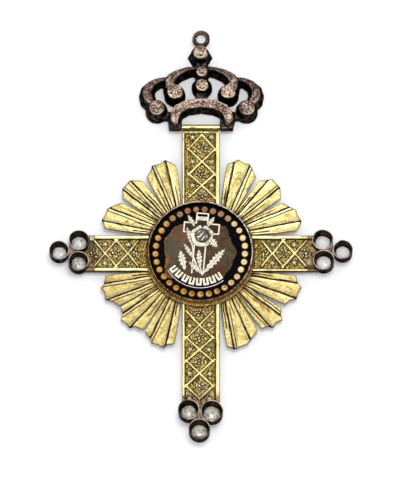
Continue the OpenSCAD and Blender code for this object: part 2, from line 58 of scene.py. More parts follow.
DISC_FACE, DISC_R = 4.7, 12.1
BEZEL_FOOT = 2.85
STUD_RING_R, STUD_COUNT, STUD_R, STUD_RISE = 10.76, 33, 0.83, 0.44
COLLET_FACE = 5.0
# Height of a stone's table, and how far its girdle lies inside the cup's outer radius
STONE_TABLE, STONE_INSET = COLLET_FACE - 2.25, 0.68


def unit(x):
    """Values held between 0 and 1."""
    return np.clip(x, 0, 1)


def fade(low, high, x):
    """0 below low, 1 above high, and a soft S between them."""
    t = unit((np.asarray(x, float) - low) / (high - low))
    return t * t * (3 - 2 * t)


def cloud(points, cell, seed):
    """Soft random values from -1 to 1, with lumps about cell millimetres wide."""
    size = 64
    table = np.random.default_rng(seed).uniform(-1, 1, (size, size, size))
    p = np.asarray(points, float) / cell
    base = np.floor(p).astype(int)
    f = p - base
    f = f * f * (3 - 2 * f)
    total = 0
    for corner in np.ndindex(2, 2, 2):
        share = np.prod(np.where(corner, f, 1 - f), axis=-1)
        at = (base + corner) % size
        total = total + share * table[at[..., 0], at[..., 1], at[..., 2]]
    return total


def flat_cloud(x, y, cell, seed):
    return cloud(np.stack([x, y, np.zeros_like(x)], -1), cell, seed)


def stipple(x, y, cell, seed):
    """Punched grains set close together: 1 on top of a grain and 0 between grains."""
    size = 64
    rng = np.random.default_rng(seed)
    centre = rng.uniform(0.2, 0.8, (size, size, 2))
    reach = rng.uniform(0.38, 0.62, (size, size))
    best = np.zeros_like(x)
    for dx in (-1, 0, 1):
        for dy in (-1, 0, 1):
            cx, cy = np.floor(x / cell).astype(int) + dx, np.floor(y / cell).astype(int) + dy
            at = centre[cx % size, cy % size]
            d = np.hypot(x / cell - cx - at[..., 0], y / cell - cy - at[..., 1]) / reach[cx % size, cy % size]
            best = np.maximum(best, unit(1 - d * d))
    return best


def to_segment(x, y, a, b):
    """Distance from points to the line between a and b, and how far along it they lie, 0 to 1."""
    ax, ay = b[0] - a[0], b[1] - a[1]
    t = unit(((x - a[0]) * ax + (y - a[1]) * ay) / (ax * ax + ay * ay))
    return np.hypot(x - a[0] - ax * t, y - a[1] - ay * t), t


def dome(distance, radius, power):
    """Round rise, 1 in the middle and 0 from the radius on."""
    return unit(1 - (distance / radius) ** 2) ** power


def blurred(height, reach):
    """Height field averaged over a square of 2 * reach + 1 cells."""
    width = 2 * reach + 1
    for _ in range(2):
        total = np.cumsum(np.pad(height, ((reach + 1, reach), (0, 0)), mode="edge"), axis=0)
        height = ((total[width:] - total[:-width]) / width).T
    return height


def add_mark(mesh, name, values):
    """Gives each point of a mesh a value that its material reads."""
    layer = mesh.attributes.new(name, "FLOAT", "POINT")
    layer.data.foreach_set("value", np.asarray(values, np.float32))


def place(name, mesh, body, material, nodes):
    """Shows a mesh in place of CAD nodes, riding on a body."""
    piece = bpy.data.objects.new(name, mesh)
    bpy.context.scene.collection.objects.link(piece)
    piece.data.materials.clear()
    piece.data.materials.append(material)
    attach(piece, body)
    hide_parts(*nodes)


class Relief(dict):
    """Named fields over one grid, each of which keeps the highest value laid on it."""

    def __init__(self, like, names):
        super().__init__({name: np.zeros_like(like) for name in names.split()})

    def lay(self, **values):
        for name, value in values.items():
            self[name] = np.maximum(self[name], value)

    def paint(self, on, **values):
        """Puts values into the fields where on is true."""
        for name, value in values.items():
            self[name] = np.where(on, value, self[name])


class Shape:
    """Points, faces and marks of one piece, gathered grid by grid."""

    def __init__(self):
        self.points, self.faces, self.marks, self.count = [], [], [], 0

    def add_grid(self, points, around=False, keep=None, flip=False, **marks):
        rows, cols = points.shape[:2]
        i, j = np.meshgrid(np.arange(rows - 1), np.arange(cols if around else cols - 1), indexing="ij")
        a, b = i * cols + j, i * cols + (j + 1) % cols
        quads = np.stack([a, b, b + cols, a + cols], -1)
        quads = quads.reshape(-1, 4) if keep is None else quads[keep]
        self.faces.extend((quads[:, :: -1 if flip else 1] + self.count).tolist())
        self.points.append(points.reshape(-1, 3))
        self.marks.append((rows * cols, {k: np.ravel(v) for k, v in marks.items()}))
        self.count += rows * cols

    def add_slab(self, top, bottom, thin, edge_marks, keep=None, **marks):
        """Two grids, one over the other, closed by a wall. The plain lower one keeps only some rows and columns."""
        self.add_grid(top, keep=keep, **marks)
        rows, cols = (np.unique([*range(0, n, step), n - 1]) for n, step in zip(bottom.shape, thin))
        if keep is not None:
            keep = np.logical_or.reduceat(np.logical_or.reduceat(keep, rows[:-1], axis=0), cols[:-1], axis=1)
        self.add_grid(bottom[np.ix_(rows, cols)], keep=keep, flip=True, **edge_marks)
        for wall, flip in ((np.s_[0], True), (np.s_[-1], False), (np.s_[:, 0], False), (np.s_[:, -1], True)):
            self.add_grid(np.stack([top[wall], bottom[wall]]), flip=flip, **edge_marks)

    def finish(self, name, material):
        mesh = bpy.data.meshes.new(name)
        points = np.concatenate(self.points) + [0, CROSS_Y, 0]
        mesh.from_pydata((points * MM).tolist(), [], self.faces)
        for mark in sorted({k for _, marks in self.marks for k in marks}):
            add_mark(mesh, mark, np.concatenate([np.broadcast_to(m.get(mark, 0.0), (n,)) for n, m in self.marks]))
        mesh.update()
        mesh.shade_smooth()
        place(name, mesh, "cross", material, [name])


def turned(profile, steps, centre):
    """Rows of points round a vertical axis through centre, one ring for each radius and height."""
    angle = np.linspace(0, 2 * np.pi, steps, endpoint=False)
    r, z = np.array(profile).T[..., None]
    return np.stack(np.broadcast_arrays(r * np.cos(angle) + centre[0], r * np.sin(angle) + centre[1], z), -1)


# Materials


class Wire:
    """A socket of a material's tree that takes part in Python arithmetic."""

    def __init__(self, tree, socket):
        self.tree, self.socket = tree, socket

    def maths(self, operation, other):
        kind = "VectorMath" if self.socket.type == "VECTOR" else "Math"
        return self.tree.add(kind, {"operation": operation}, places=[self, other])

    def __add__(self, other):
        return self.maths("ADD", other)

    __radd__ = __add__

    def __sub__(self, other):
        return self.maths("SUBTRACT", other)

    def __rsub__(self, other):
        return self * -1 + other

    def __mul__(self, other):
        return self.maths("MULTIPLY", other)

    __rmul__ = __mul__

    def capped(self):
        return self.maths("MAXIMUM", 0.0).maths("MINIMUM", 1.0)

    def between(self, low, high):
        """0 below low, 1 above high, soft in between."""
        return self.tree.add(
            "MapRange", {"interpolation_type": "SMOOTHSTEP"}, Value=self, From_Min=low, From_Max=high
        )


class Tree:
    """The node tree of one material; every node comes from add()."""

    def __init__(self, name):
        self.material = bpy.data.materials.new(name)
        self.material.use_nodes = True
        self.nodes, self.links = self.material.node_tree.nodes, self.material.node_tree.links
        self.nodes.clear()
        # Place on the piece, in millimetres
        self.at = self.add("TexCoord", output="Object") * (1 / MM, 1 / MM, 1 / MM)

    def feed(self, socket, value):
        if isinstance(value, Wire):
            self.links.new(value.socket, socket)
        elif socket.type == "RGBA" and len(value) == 3:
            socket.default_value = (*value, 1)
        else:
            socket.default_value = value

    def add(self, kind, settings=None, output=0, places=(), **inputs):
        node = self.nodes.new("ShaderNode" + kind)
        for name, value in (settings or {}).items():
            setattr(node, name, value)
        for index, value in enumerate(places):
            if value is not None:
                self.feed(node.inputs[index], value)
        for name, value in inputs.items():
            self.feed(node.inputs[name.replace("_", " ")], value)
        return Wire(self, node.outputs[output]) if len(node.outputs) else None

    def marks(self, names):
        return [self.add("Attribute", {"attribute_name": name}, output="Fac") for name in names.split()]

    def noise(self, cell, detail, rough=0.55, at=None):
        return self.add("TexNoise", Vector=at or self.at, Scale=1.0 / cell, Detail=detail, Roughness=rough)

    def coat(self, tone, *layers):
        """Lays colours over a tone, one after the other, each as far as its share says."""
        for share, colour in layers:
            places = [share, None, None, None, None, None, tone, colour]
            tone = self.add("Mix", {"data_type": "RGBA"}, output=2, places=places)
        return tone

    def surface(self, tone, rough, bump=None, metal=0.0, **more):
        """Ends the material. The bump is a height, its depth in millimetres and its strength."""
        if bump:
            height, depth, strength = bump
            more["Normal"] = self.add("Bump", Height=height, Distance=depth * MM, Strength=strength)
        shader = self.add("BsdfPrincipled", Base_Color=tone, Roughness=rough, Metallic=metal, **more)
        self.add("OutputMaterial", Surface=shader)
        return self.material


def gilt_coat(tree, tone, stain, recess, fine, broad, brown):
    """Lays brown stains and black in the recesses over a gilt tone, the black partly painted shade; gives colour, how
    matt and how metallic.
    """
    worn = (stain * (0.45 + broad * 0.9)).capped()
    dark_in_recesses = (recess * (0.75 + fine * 0.55)).capped()
    black = tree.coat((0.014, 0.008, 0.003), (broad.between(0.42, 0.62), (0.050, 0.027, 0.009)))
    return tree.coat(tone, (worn, brown), (dark_in_recesses, black)), worn * 0.15 + dark_in_recesses * 0.35, 1.0 - dark_in_recesses * 0.6 - worn * 0.1


def arm_gilt():
    """Polished on the rails and ribs, dark and speckled on the stippled ground, red-brown near the cups."""
    tree = Tree("arm gilt")
    shine, grain, recess, glint = tree.marks("shine grain recess glint")
    stain, pale, verdigris = tree.marks("stain pale verdigris")
    broad, fine, scratch = tree.noise(2.2, 4, 0.6), tree.noise(0.34, 5, 0.7), tree.noise(0.11, 4, 0.7)
    speck = grain * fine.between(0.33, 0.56) * 1.5
    polish = tree.coat((0.97, 0.89, 0.46), ((fine * 0.8 + broad * 0.4).between(0.50, 0.88), (0.87, 0.70, 0.26)))
    tone = tree.coat(
        (0.062, 0.028, 0.003),
        (broad.between(0.38, 0.64), (0.23, 0.140, 0.020)),
        (speck, (0.93, 0.71, 0.205)),
        ((1.0 - grain).between(0.48, 0.90) * fine.between(0.64, 0.45), (0.018, 0.009, 0.002)),
        (shine * (0.85 + fine * 0.6), polish),
    )
    brown = tree.coat(
        (0.085, 0.034, 0.013), (fine.between(0.4, 0.6), (0.34, 0.185, 0.080)), (speck, (0.84, 0.66, 0.36))
    )
    tone, dull, metal = gilt_coat(tree, tone, stain, (recess * 1.6).capped(), fine, broad, brown)
    green = verdigris * fine.between(0.42, 0.50)
    tone = tree.coat(
        tone,
        (glint * (0.75 + fine * 0.5), (1.0, 0.97, 0.78)),
        (pale * (0.3 + fine), (0.80, 0.68, 0.56)),
        (green, tree.coat((0.020, 0.032, 0.003), (fine.between(0.50, 0.60), (0.20, 0.24, 0.03)))),
    )
    rough = 0.42 - shine * 0.16 - glint * 0.08 + fine * 0.14 + dull
    metal = (metal - green * 0.5).capped()
    return tree.surface(tone, rough, (scratch + fine, 0.04, 0.8), metal, Specular_IOR_Level=0.25)


def ray_gilt():
    """Pale lemon gilt with a fine grain, brown stains, black creases and a painted highlight beside each crease."""
    tree = Tree("ray gilt")
    recess, crest, along, olive, stain = tree.marks("recess crest along olive stain")
    broad, fine, speck = tree.noise(2.4, 4, 0.6), tree.noise(0.55, 5, 0.72), tree.noise(0.36, 4, 0.8)
    tone = tree.coat(
        (0.86, 0.75, 0.33),
        ((broad * 0.5 + fine * 0.9).between(0.58, 0.95), (0.57, 0.45, 0.125)),
        (speck.between(0.51, 0.60) * 0.75, (0.36, 0.27, 0.062)),
        (speck.between(0.46, 0.38) * 0.8, (1.0, 0.96, 0.66)),
        (crest * (0.6 + fine * 0.5), (0.98, 0.92, 0.64)),
        (olive * (0.1 + fine * 1.3), tree.coat((0.52, 0.46, 0.12), (speck.between(0.42, 0.58), (0.11, 0.10, 0.02)))),
        (along * fine.between(0.35, 0.62), (0.42, 0.29, 0.07)),
    )
    tone, dull, metal = gilt_coat(tree, tone, stain, recess, fine, broad, (0.22, 0.125, 0.034))
    tone = tree.coat(tone, (fine.between(0.66, 0.72) * (0.35 + olive * 0.65), (0.09, 0.065, 0.015)))
    return tree.surface(tone, 0.32 + fine * 0.16 + dull, (speck + fine, 0.035, 0.7), metal, Specular_IOR_Level=0.25)


def back_gilt():
    """Plain gilt with brown clouds."""
    tree = Tree("back gilt")
    broad, fine = tree.noise(4.0, 4), tree.noise(0.4, 5, 0.65)
    tone = tree.coat((0.60, 0.48, 0.20), ((broad + fine * 0.4).between(0.5, 0.95), (0.24, 0.16, 0.06)))
    return tree.surface(tone, 0.3 + fine * 0.25, (fine, 0.03, 0.5), 0.9 + broad * 0.1)


def crown_silver():
    """Oxidised cast silver: black flanks with a painted sheen, pinkish brown faces full of pits, and pale edges and
    lips that are partly wear and partly painted highlight.
    """
    tree = Tree("crown silver")
    flat, edge, hollow, lip, worn, foot = tree.marks("flat edge hollow lip worn foot")
    broad, pits = tree.noise(1.5, 4, 0.6), tree.noise(0.45, 5, 0.74)
    grit, sheen = tree.noise(0.13, 3, 0.7), tree.noise(1.0, 4, 0.65)
    holes = tree.add("TexVoronoi", output="Distance", Vector=tree.at, Scale=1 / 0.42)
    face = tree.coat(
        (0.024, 0.012, 0.008),
        (pits.between(0.38, 0.62), (0.25, 0.140, 0.104)),
        ((pits + broad * 0.35 + worn * 0.14).between(0.75, 0.90) * 0.95, (0.86, 0.66, 0.52)),
        (holes.between(0.20, 0.05) * 0.6, (0.012, 0.006, 0.004)),
        ((1.0 - worn) * 0.80, (0.040, 0.026, 0.020)),
    )
    # The grey sheen on the flanks is a painted reflection; the pale on the edges and lips is wear with a painted
    # highlight.
    tone = tree.coat(
        (0.006, 0.005, 0.004),
        (sheen.between(0.42, 0.66), (0.085, 0.080, 0.080)),
        (broad.between(0.50, 0.70) * 0.7, (0.075, 0.030, 0.020)),
        (foot * broad.between(0.35, 0.60), (0.068, 0.028, 0.018)),
        (edge * sheen.between(0.42, 0.6) * 0.6, (0.36, 0.30, 0.26)),
        (flat * 1.1, face),
        ((edge * 0.22 * worn + lip) * (0.1 + pits * 1.3), (0.95, 0.79, 0.64)),
        (hollow * (1.0 - flat * 0.6), (0.005, 0.003, 0.002)),
    )
    return tree.surface(
        tone, 0.30 + pits * 0.2 + flat * 0.08, (grit * 0.5 + pits, 0.12, 0.9), 1.0 - hollow * 0.3,
        Specular_Tint=(0.22, 0.21, 0.21, 1), Specular_IOR_Level=0.1,
    )


def collet_silver():
    """Dark cups with a painted pinkish highlight on the rim in places, and brown walls inside with painted glints."""
    tree = Tree("collet silver")
    edge, inside, solder = tree.marks("edge inside solder")
    broad, pits = tree.noise(1.1, 4, 0.6), tree.noise(0.3, 5, 0.7)
    rings = tree.noise(0.9, 4, 0.6, tree.at * (0.5, 0.5, 3.0))
    cup = tree.coat(
        (0.004, 0.003, 0.002),
        (rings.between(0.43, 0.60), (0.115, 0.088, 0.060)),
        # Painted glints on the walls
        (pits.between(0.60, 0.68) * 0.7, (0.62, 0.56, 0.50)),
    )
    tone = tree.coat(
        (0.006, 0.005, 0.004),
        (broad.between(0.36, 0.64), (0.095, 0.080, 0.070)),
        (pits.between(0.56, 0.72) * 0.5, (0.24, 0.19, 0.16)),
        (edge * (0.15 + broad * 0.9 + pits * 0.5), (0.93, 0.76, 0.65)),
        (solder * (0.1 + pits), (0.80, 0.62, 0.50)),
        (inside, cup),
    )
    return tree.surface(
        tone, 0.30 + pits * 0.2, (pits, 0.08, 0.9), 1.0 - inside * 0.1,
        Specular_Tint=(0.25, 0.23, 0.22, 1), Specular_IOR_Level=0.15,
    )


def bezel_gilt():
    """Red-brown to gold-brown metal, black inside, with a thin broken painted highlight along the rim."""
    tree = Tree("bezel gilt")
    edge, inside, foot, gleam = tree.marks("edge inside foot gleam")
    broad, fine = tree.noise(2.0, 4, 0.6), tree.noise(0.38, 5, 0.74)
    gold, fleck = tree.noise(0.8, 5, 0.78), tree.noise(0.50, 5, 0.78)
    # The pale line on the rim is a painted highlight, lilac where it gleams most
    bare = tree.coat((0.42, 0.29, 0.18), (gleam, (0.90, 0.82, 0.83)))
    tone = tree.coat(
        (0.100, 0.030, 0.012),
        (broad.between(0.42, 0.62), (0.28, 0.145, 0.042)),
        (gold.between(0.51, 0.60) * 0.84, (0.70, 0.46, 0.16)),
        (fine.between(0.55, 0.41) * (0.92 - foot * 0.24), (0.018, 0.008, 0.004)),
        (foot * fleck.between(0.43, 0.58) * 0.94, (0.94, 0.66, 0.28)),
        # Lilac flecks on the foot are painted highlights
        (foot * fleck.between(0.44, 0.36) * gold.between(0.44, 0.54), (0.72, 0.58, 0.58)),
        (edge * (fine.between(0.36, 0.60) * (0.45 + gleam)), bare),
        (inside, (0.003, 0.002, 0.002)),
    )
    return tree.surface(
        tone, 0.30 + fine * 0.22, (fine + gold, 0.10, 1.0), 1.0 - inside * 0.2,
        Specular_Tint=(0.5, 0.4, 0.3, 1), Specular_IOR_Level=0.05,
    )


def stud_gold():
    """Domed studs: ochre at the left and foot, painted brown as shade above and cream as lit at the right, each with a
    redder middle that is partly painted shade.
    """
    tree = Tree("stud gold")
    pale, dent, dim, rim = tree.marks("pale dent dim rim")
    fine = tree.noise(0.30, 4, 0.7)
    brown = tree.coat((0.42, 0.26, 0.14), (dent * 1.6 + fine.between(0.4, 0.6) * 0.6, (0.10, 0.042, 0.018)))
    tone = tree.coat(
        (0.58, 0.285, 0.052),
        (pale, (0.98, 0.77, 0.42)),
        (dim, brown),
        (fine.between(0.48, 0.66) * 0.6, (0.40, 0.175, 0.028)),
        (fine.between(0.42, 0.34) * 0.5, (0.98, 0.82, 0.52)),
        (dent * (0.6 + fine * 0.7), (0.24, 0.070, 0.006)),
        (rim * 0.95, (0.030, 0.010, 0.004)),
    )
    return tree.surface(tone, 0.36 + fine * 0.2, (fine, 0.06, 0.8), 0.72 - rim * 0.2, Specular_IOR_Level=0.25)


def shell():
    """Almost black polished shell with a clouded brown patch in the middle."""
    tree = Tree("dark shell")
    patch, glow, wine, cool, warm, verge, hollow = tree.marks("patch glow wine cool warm verge hollow")
    veil, mottle, tint = tree.noise(2.2, 5, 0.62), tree.noise(0.7, 5, 0.72), tree.noise(1.3, 3, 0.6)
    brown = tree.coat(
        (0.040, 0.025, 0.014),
        (veil.between(0.24, 0.76), (0.112, 0.072, 0.040)),
        (cool * 0.9, (0.100, 0.088, 0.064)),
        (warm * 0.8, (0.17, 0.080, 0.042)),
        (tint.between(0.52, 0.68) * 0.6, (0.125, 0.055, 0.040)),
        (tint.between(0.46, 0.32) * 0.5, (0.085, 0.080, 0.045)),
        (mottle.between(0.52, 0.70) * 0.55, (0.19, 0.135, 0.09)),
        (mottle.between(0.46, 0.34) * 0.5, (0.030, 0.020, 0.014)),
        (hollow * 0.6, (0.022, 0.018, 0.014)),
        (verge * mottle.between(0.35, 0.6), (0.30, 0.15, 0.07)),
        (glow * (0.5 + mottle * 0.9), (0.33, 0.115, 0.010)),
        (wine * (0.15 + mottle * 0.7), (0.105, 0.020, 0.011)),
    )
    black = (mottle.between(0.45, 0.75), (0.0050, 0.0048, 0.0065))
    tone = tree.coat((0.0010, 0.0008, 0.0010), black, (patch * 1.1, brown))
    return tree.surface(tone, 0.10 + veil * 0.06, (mottle, 0.02, 0.25), Specular_IOR_Level=0.04)


def bone_inlay():
    """Engraved cream inlay with dark cuts."""
    tree = Tree("bone inlay")
    recess, shade = tree.marks("recess shade")
    fine = tree.noise(0.3, 4, 0.65)
    tone = tree.coat(
        (0.98, 0.92, 0.76),
        (fine.between(0.45, 0.74), (0.70, 0.57, 0.38)),
        (shade * (0.7 + fine * 0.6), (0.088, 0.078, 0.066)),
        (recess * (0.75 + fine * 0.5), (0.035, 0.020, 0.012)),
    )
    return tree.surface(tone, 0.38 + fine * 0.2, (fine, 0.03, 0.5), Specular_IOR_Level=0.4)


def silver_wire():
    """Bright silver, a little dull in places."""
    tree = Tree("silver wire")
    fine = tree.noise(0.3, 4, 0.65)
    tone = tree.coat((0.95, 0.93, 0.92), (fine.between(0.4, 0.7), (0.45, 0.40, 0.38)))
    return tree.surface(tone, 0.25 + fine * 0.2, (fine, 0.02, 0.5), 0.9 + fine * 0.1)


def cloudy_paste():
    """Clouded, scratched paste: some facets are painted bright as if lit, others painted dark as if in the cup's shade,
    and a few carry a painted glint.
    """
    tree = Tree("cloudy paste")
    bright, cut = tree.marks("bright cut")
    veil, motes = tree.noise(0.8, 5, 0.65), tree.noise(0.24, 5, 0.72)
    scratch = tree.noise(0.2, 4, 0.7, tree.at * (1.0, 0.25, 1.0))
    tone = tree.coat(
        (0.165, 0.15, 0.098),
        (veil.between(0.34, 0.62), (0.87, 0.815, 0.67)),
        (bright, (0.97, 0.95, 0.96)),
        (motes.between(0.50, 0.68) * (1.0 - bright * 0.85), (0.075, 0.065, 0.048)),
        (scratch.between(0.60, 0.70) * 0.8, (0.95, 0.93, 0.91)),
        # Painted glints on a few facets
        (cut * (0.3 + veil), (0.98, 0.96, 0.95)),
    )
    return tree.surface(tone, 0.12 + motes * 0.2, (motes + scratch, 0.03, 0.5), Coat_Weight=0.4)


def studio_floor():
    """White ground that glows a little, as in the photo."""
    tree = Tree("pale floor")
    soft = tree.noise(60.0, 2)
    tone = tree.coat((0.92, 0.915, 0.925), (soft, (0.94, 0.935, 0.945)))
    return tree.surface(tone, 0.9 + soft * 0.05, Emission_Color=tone, Emission_Strength=0.13)


# Arms

# "turn" is the way an arm points and "reach" its end; "left" and "right" are the widths of its rails, "shift"
# moves the lattice across, and "stations" are its zigzag corners along the arm, starting at the sides. "plates"
# are small corner plates and "smears" pale worn spots with their half sizes.
ARMS = {
    "arm_top": dict(
        turn=0, reach=31.2, left=0.55, right=1.0, shift=0.22, rail_end=31.2, plates=[], smears=[],
        stations=[14.0, 17.25, 20.0, 23.2, 26.4, 30.05]),
    "arm_bottom": dict(
        turn=180, reach=38.6, left=1.0, right=0.62, shift=0.35, rail_end=35.9, plates=[], smears=[],
        stations=[14.5, 18.05, 21.2, 24.2, 27.0, 30.15, 33.3, 36.6]),
    "arm_left": dict(
        turn=90, reach=28.3, left=0.9, right=0.9, shift=0.0, rail_end=25.6, plates=[(3.75, 26.15)],
        smears=[(-3.6, 25.9, 0.6, 0.3)], stations=[15.1, 17.5, 20.35, 23.05, 25.6]),
    "arm_right": dict(
        turn=-90, reach=28.3, left=0.9, right=0.5, shift=0.0, rail_end=25.5, plates=[],
        smears=[(2.0, 26.0, 1.1, 0.7)], stations=[14.5, 17.15, 19.7, 22.5, 25.2]),
}

# Rims of the stone settings: x, y and outer radius
TREFOILS = {
    "left": [(-29.3, 2.6, 2.5), (-29.35, -2.65, 2.5), (-34.0, 0.05, 2.42)],
    "right": [(29.2, 2.7, 2.56), (29.45, -2.4, 2.56), (34.0, 0.2, 2.42)],
    "bottom": [(-2.93, -39.95, 2.58), (2.6, -40.3, 2.72), (-0.38, -44.8, 2.6)],
}


def add_ribs(relief, u, v, arm, rng, seed):
    """Zigzag ribs, drawn on a little beyond the corners where they cross."""
    stations = arm["stations"]
    wander = 0.05 * flat_cloud(u, v, 1.1, seed) + 0.03 * flat_cloud(u, v, 0.4, seed + 11)
    dark = 0.62 + 0.5 * flat_cloud(u, v, 0.8, seed + 12)
    for i, (start, end) in enumerate(zip(stations, stations[1:])):
        from_side = i % 2 == 0
        for side in (-LATTICE_HALF, LATTICE_HALF):
            near = np.array([side if from_side else 0.0, start + rng.uniform(-0.1, 0.1)])
            far = np.array([0.0 if from_side else side, end + rng.uniform(-0.1, 0.1)])
            run = (far - near) / np.hypot(*(far - near)) * rng.uniform(0.2, 0.7)
            if from_side and i > 0:
                near = near - run
            elif not from_side and i < len(stations) - 2:
                far = far + run
            half = rng.uniform(0.25, 0.33)
            d = to_segment(u - arm["shift"], v, near, far)[0] + wander
            relief.lay(
                rise=RIB_RISE * dome(d, half, 0.55), shine=fade(half * 0.98, half * 0.60, d),
                shade=dark * fade(half + 0.26, half + 0.02, d))


def add_floret(relief, u, v, rng, seed):
    """Six beads round a seventh, with punched curls round them; u and v are measured from the middle."""
    for k in range(7):
        angle = math.radians(60 * k + 15) + rng.uniform(-0.24, 0.24)
        out = rng.uniform(0.0, 0.2) if k == 6 else 0.84 + rng.uniform(-0.14, 0.14)
        r = rng.uniform(0.25, 0.40)
        d = np.hypot(u - out * math.cos(angle), v - out * math.sin(angle))
        relief.lay(
            rise=0.36 * dome(d, r, 0.8), shine=rng.choice([1.2, 1.2, 1.0, 0.5]) * fade(r, r * 0.5, d),
            glint=rng.uniform(0.1, 0.9) * fade(r * 0.8, r * 0.3, d), shade=0.65 * fade(r + 0.2, r, d))
    turn = np.arctan2(v, u)
    curl = fade(0.16, 0.03, np.abs(np.hypot(u, v) - 1.32 - 0.12 * np.cos(6 * turn)))
    relief.lay(
        shine=0.55 * curl * fade(0.3, 0.9, np.cos(7 * turn + seed)),
        shade=0.7 * curl * fade(0.0, 0.8, -np.cos(9 * turn + seed)))


def add_star(relief, u, v, rng):
    """Five-pointed star; u and v are measured from its middle."""
    angle = np.arctan2(v, u) + rng.uniform(0, 1.2)
    d, edge = np.hypot(u, v), 0.42 + 0.19 * np.cos(5 * angle)
    relief.lay(
        rise=0.36 * dome(d, edge + 0.04, 0.8), shine=fade(edge + 0.10, edge - 0.02, d),
        glint=rng.uniform(0.8, 1.2) * fade(edge + 0.03, edge - 0.16, d),
        shade=0.55 * fade(0.30, 0.1, np.abs(d - 0.70)))


def lattice(u, v, arm, seed):
    """Ribs, florets and stars over the ground: their height, how polished they are and the shade round them."""
    relief = Relief(u, "rise shine shade glint pale")
    rng = np.random.default_rng(seed)
    add_ribs(relief, u, v, arm, rng, seed)
    last = len(arm["stations"]) - 1
    for i, station in enumerate(arm["stations"]):
        if i % 2 == 0:
            add_floret(relief, u - arm["shift"], v - station - (0.35 if i == 0 else 0.0), rng, seed)
            continue
        # The last stars of the top arm keep clear of its lip
        lower = 0.60 if arm["turn"] == 0 and i == last else 0.0
        for side in (-1, 1):
            du = u - arm["shift"] - side * (2.35 + rng.uniform(-0.12, 0.12))
            add_star(relief, du, v - station + lower - rng.uniform(-0.12, 0.12), rng)
    relief["shade"] = unit(relief["shade"]) * (1 - unit(relief["shine"] * 2))
    relief["shine"], relief["glint"] = unit(relief["shine"]), unit(relief["glint"])
    return relief


def add_rails(front, u, v, arm, seed):
    """Polished rails along both sides, with a dark groove beside each."""
    worn = (0.88 + 0.4 * flat_cloud(u, v, 1.1, seed + 4)) * fade(arm["rail_end"] + 0.5, arm["rail_end"] - 0.5, v)
    dark = 0.75 + 0.5 * flat_cloud(u, v, 0.9, seed + 13)
    for side, width in ((-1, arm["left"]), (1, arm["right"])):
        across = (ARM_HALF - side * u) / (width * (1 + 0.05 * flat_cloud(v, v * 0, 2.3, seed + 8)))
        crown = 1 - unit(np.abs(across * 2 - 1)) ** 3.5 * 0.55
        rail = ARM_GROUND + (ARM_FACE - ARM_GROUND) * crown + 0.03 * flat_cloud(u * 2.0, v, 1.1, seed + 3)
        face = fade(0.02, 0.16, across) * fade(1.0, 0.84, across)
        front.lay(shade=dark * fade(1.42, 1.05, across))
        front.paint(
            across < 1, height=np.maximum(rail, ARM_GROUND + 0.05), shine=unit(worn * face),
            grain=0.3 * face, glint=0.0, shade=0.9 * fade(0.1, 0.0, across))
        front.paint(np.abs(across - 1.12) < 0.12, height=ARM_GROUND - 0.03)


def arm_front(u, v, arm, seed):
    """Height of an arm's front across and along it, and its marks."""
    front = lattice(u, v, arm, seed)
    grain = stipple(u, v, 0.30, seed + 1)
    swirl = np.abs(flat_cloud(u, v, 0.55, seed + 9))
    ground = ARM_GROUND + 0.085 * grain + 0.03 * flat_cloud(u, v, 0.9, seed + 2)
    front["height"] = ground + np.maximum(0, front.pop("rise") - 0.02)
    front["grain"] = unit(grain * (0.35 + 1.2 * swirl))
    add_rails(front, u, v, arm, seed)
    for pu, pv in arm["plates"]:
        square = np.maximum(np.abs(u - pu), np.abs(v - pv))
        front.paint(
            square < 0.52, height=ARM_GROUND + 0.34 - 0.12 * (square < 0.18), shine=0.4, shade=0.0,
            pale=1.0 - 0.8 * (square < 0.2) - 0.8 * fade(0.42, 0.52, square))
        front.lay(shade=0.9 * fade(0.16, 0.02, np.abs(square - 0.6)))
    for pu, pv, wide, long in arm["smears"]:
        front.lay(pale=0.7 * fade(1.1, 0.3, np.hypot((u - pu) / wide, (v - pv) / long) + 0.5 * swirl))
    if arm["turn"] == 0:
        lip = dome(v - LIP_V, 0.26, 0.5)
        front.paint(
            np.abs(v - LIP_V) < 0.26, height=ARM_GROUND + 0.35 * lip + 0.05, shade=0.0,
            shine=lip * (0.25 + 1.3 * np.abs(flat_cloud(u, v, 1.2, 71))))
        front.paint(v > GROOVE_V, height=ARM_GROUND - 0.12, shine=0.0)
    return np.minimum(front.pop("height"), ARM_FACE), front


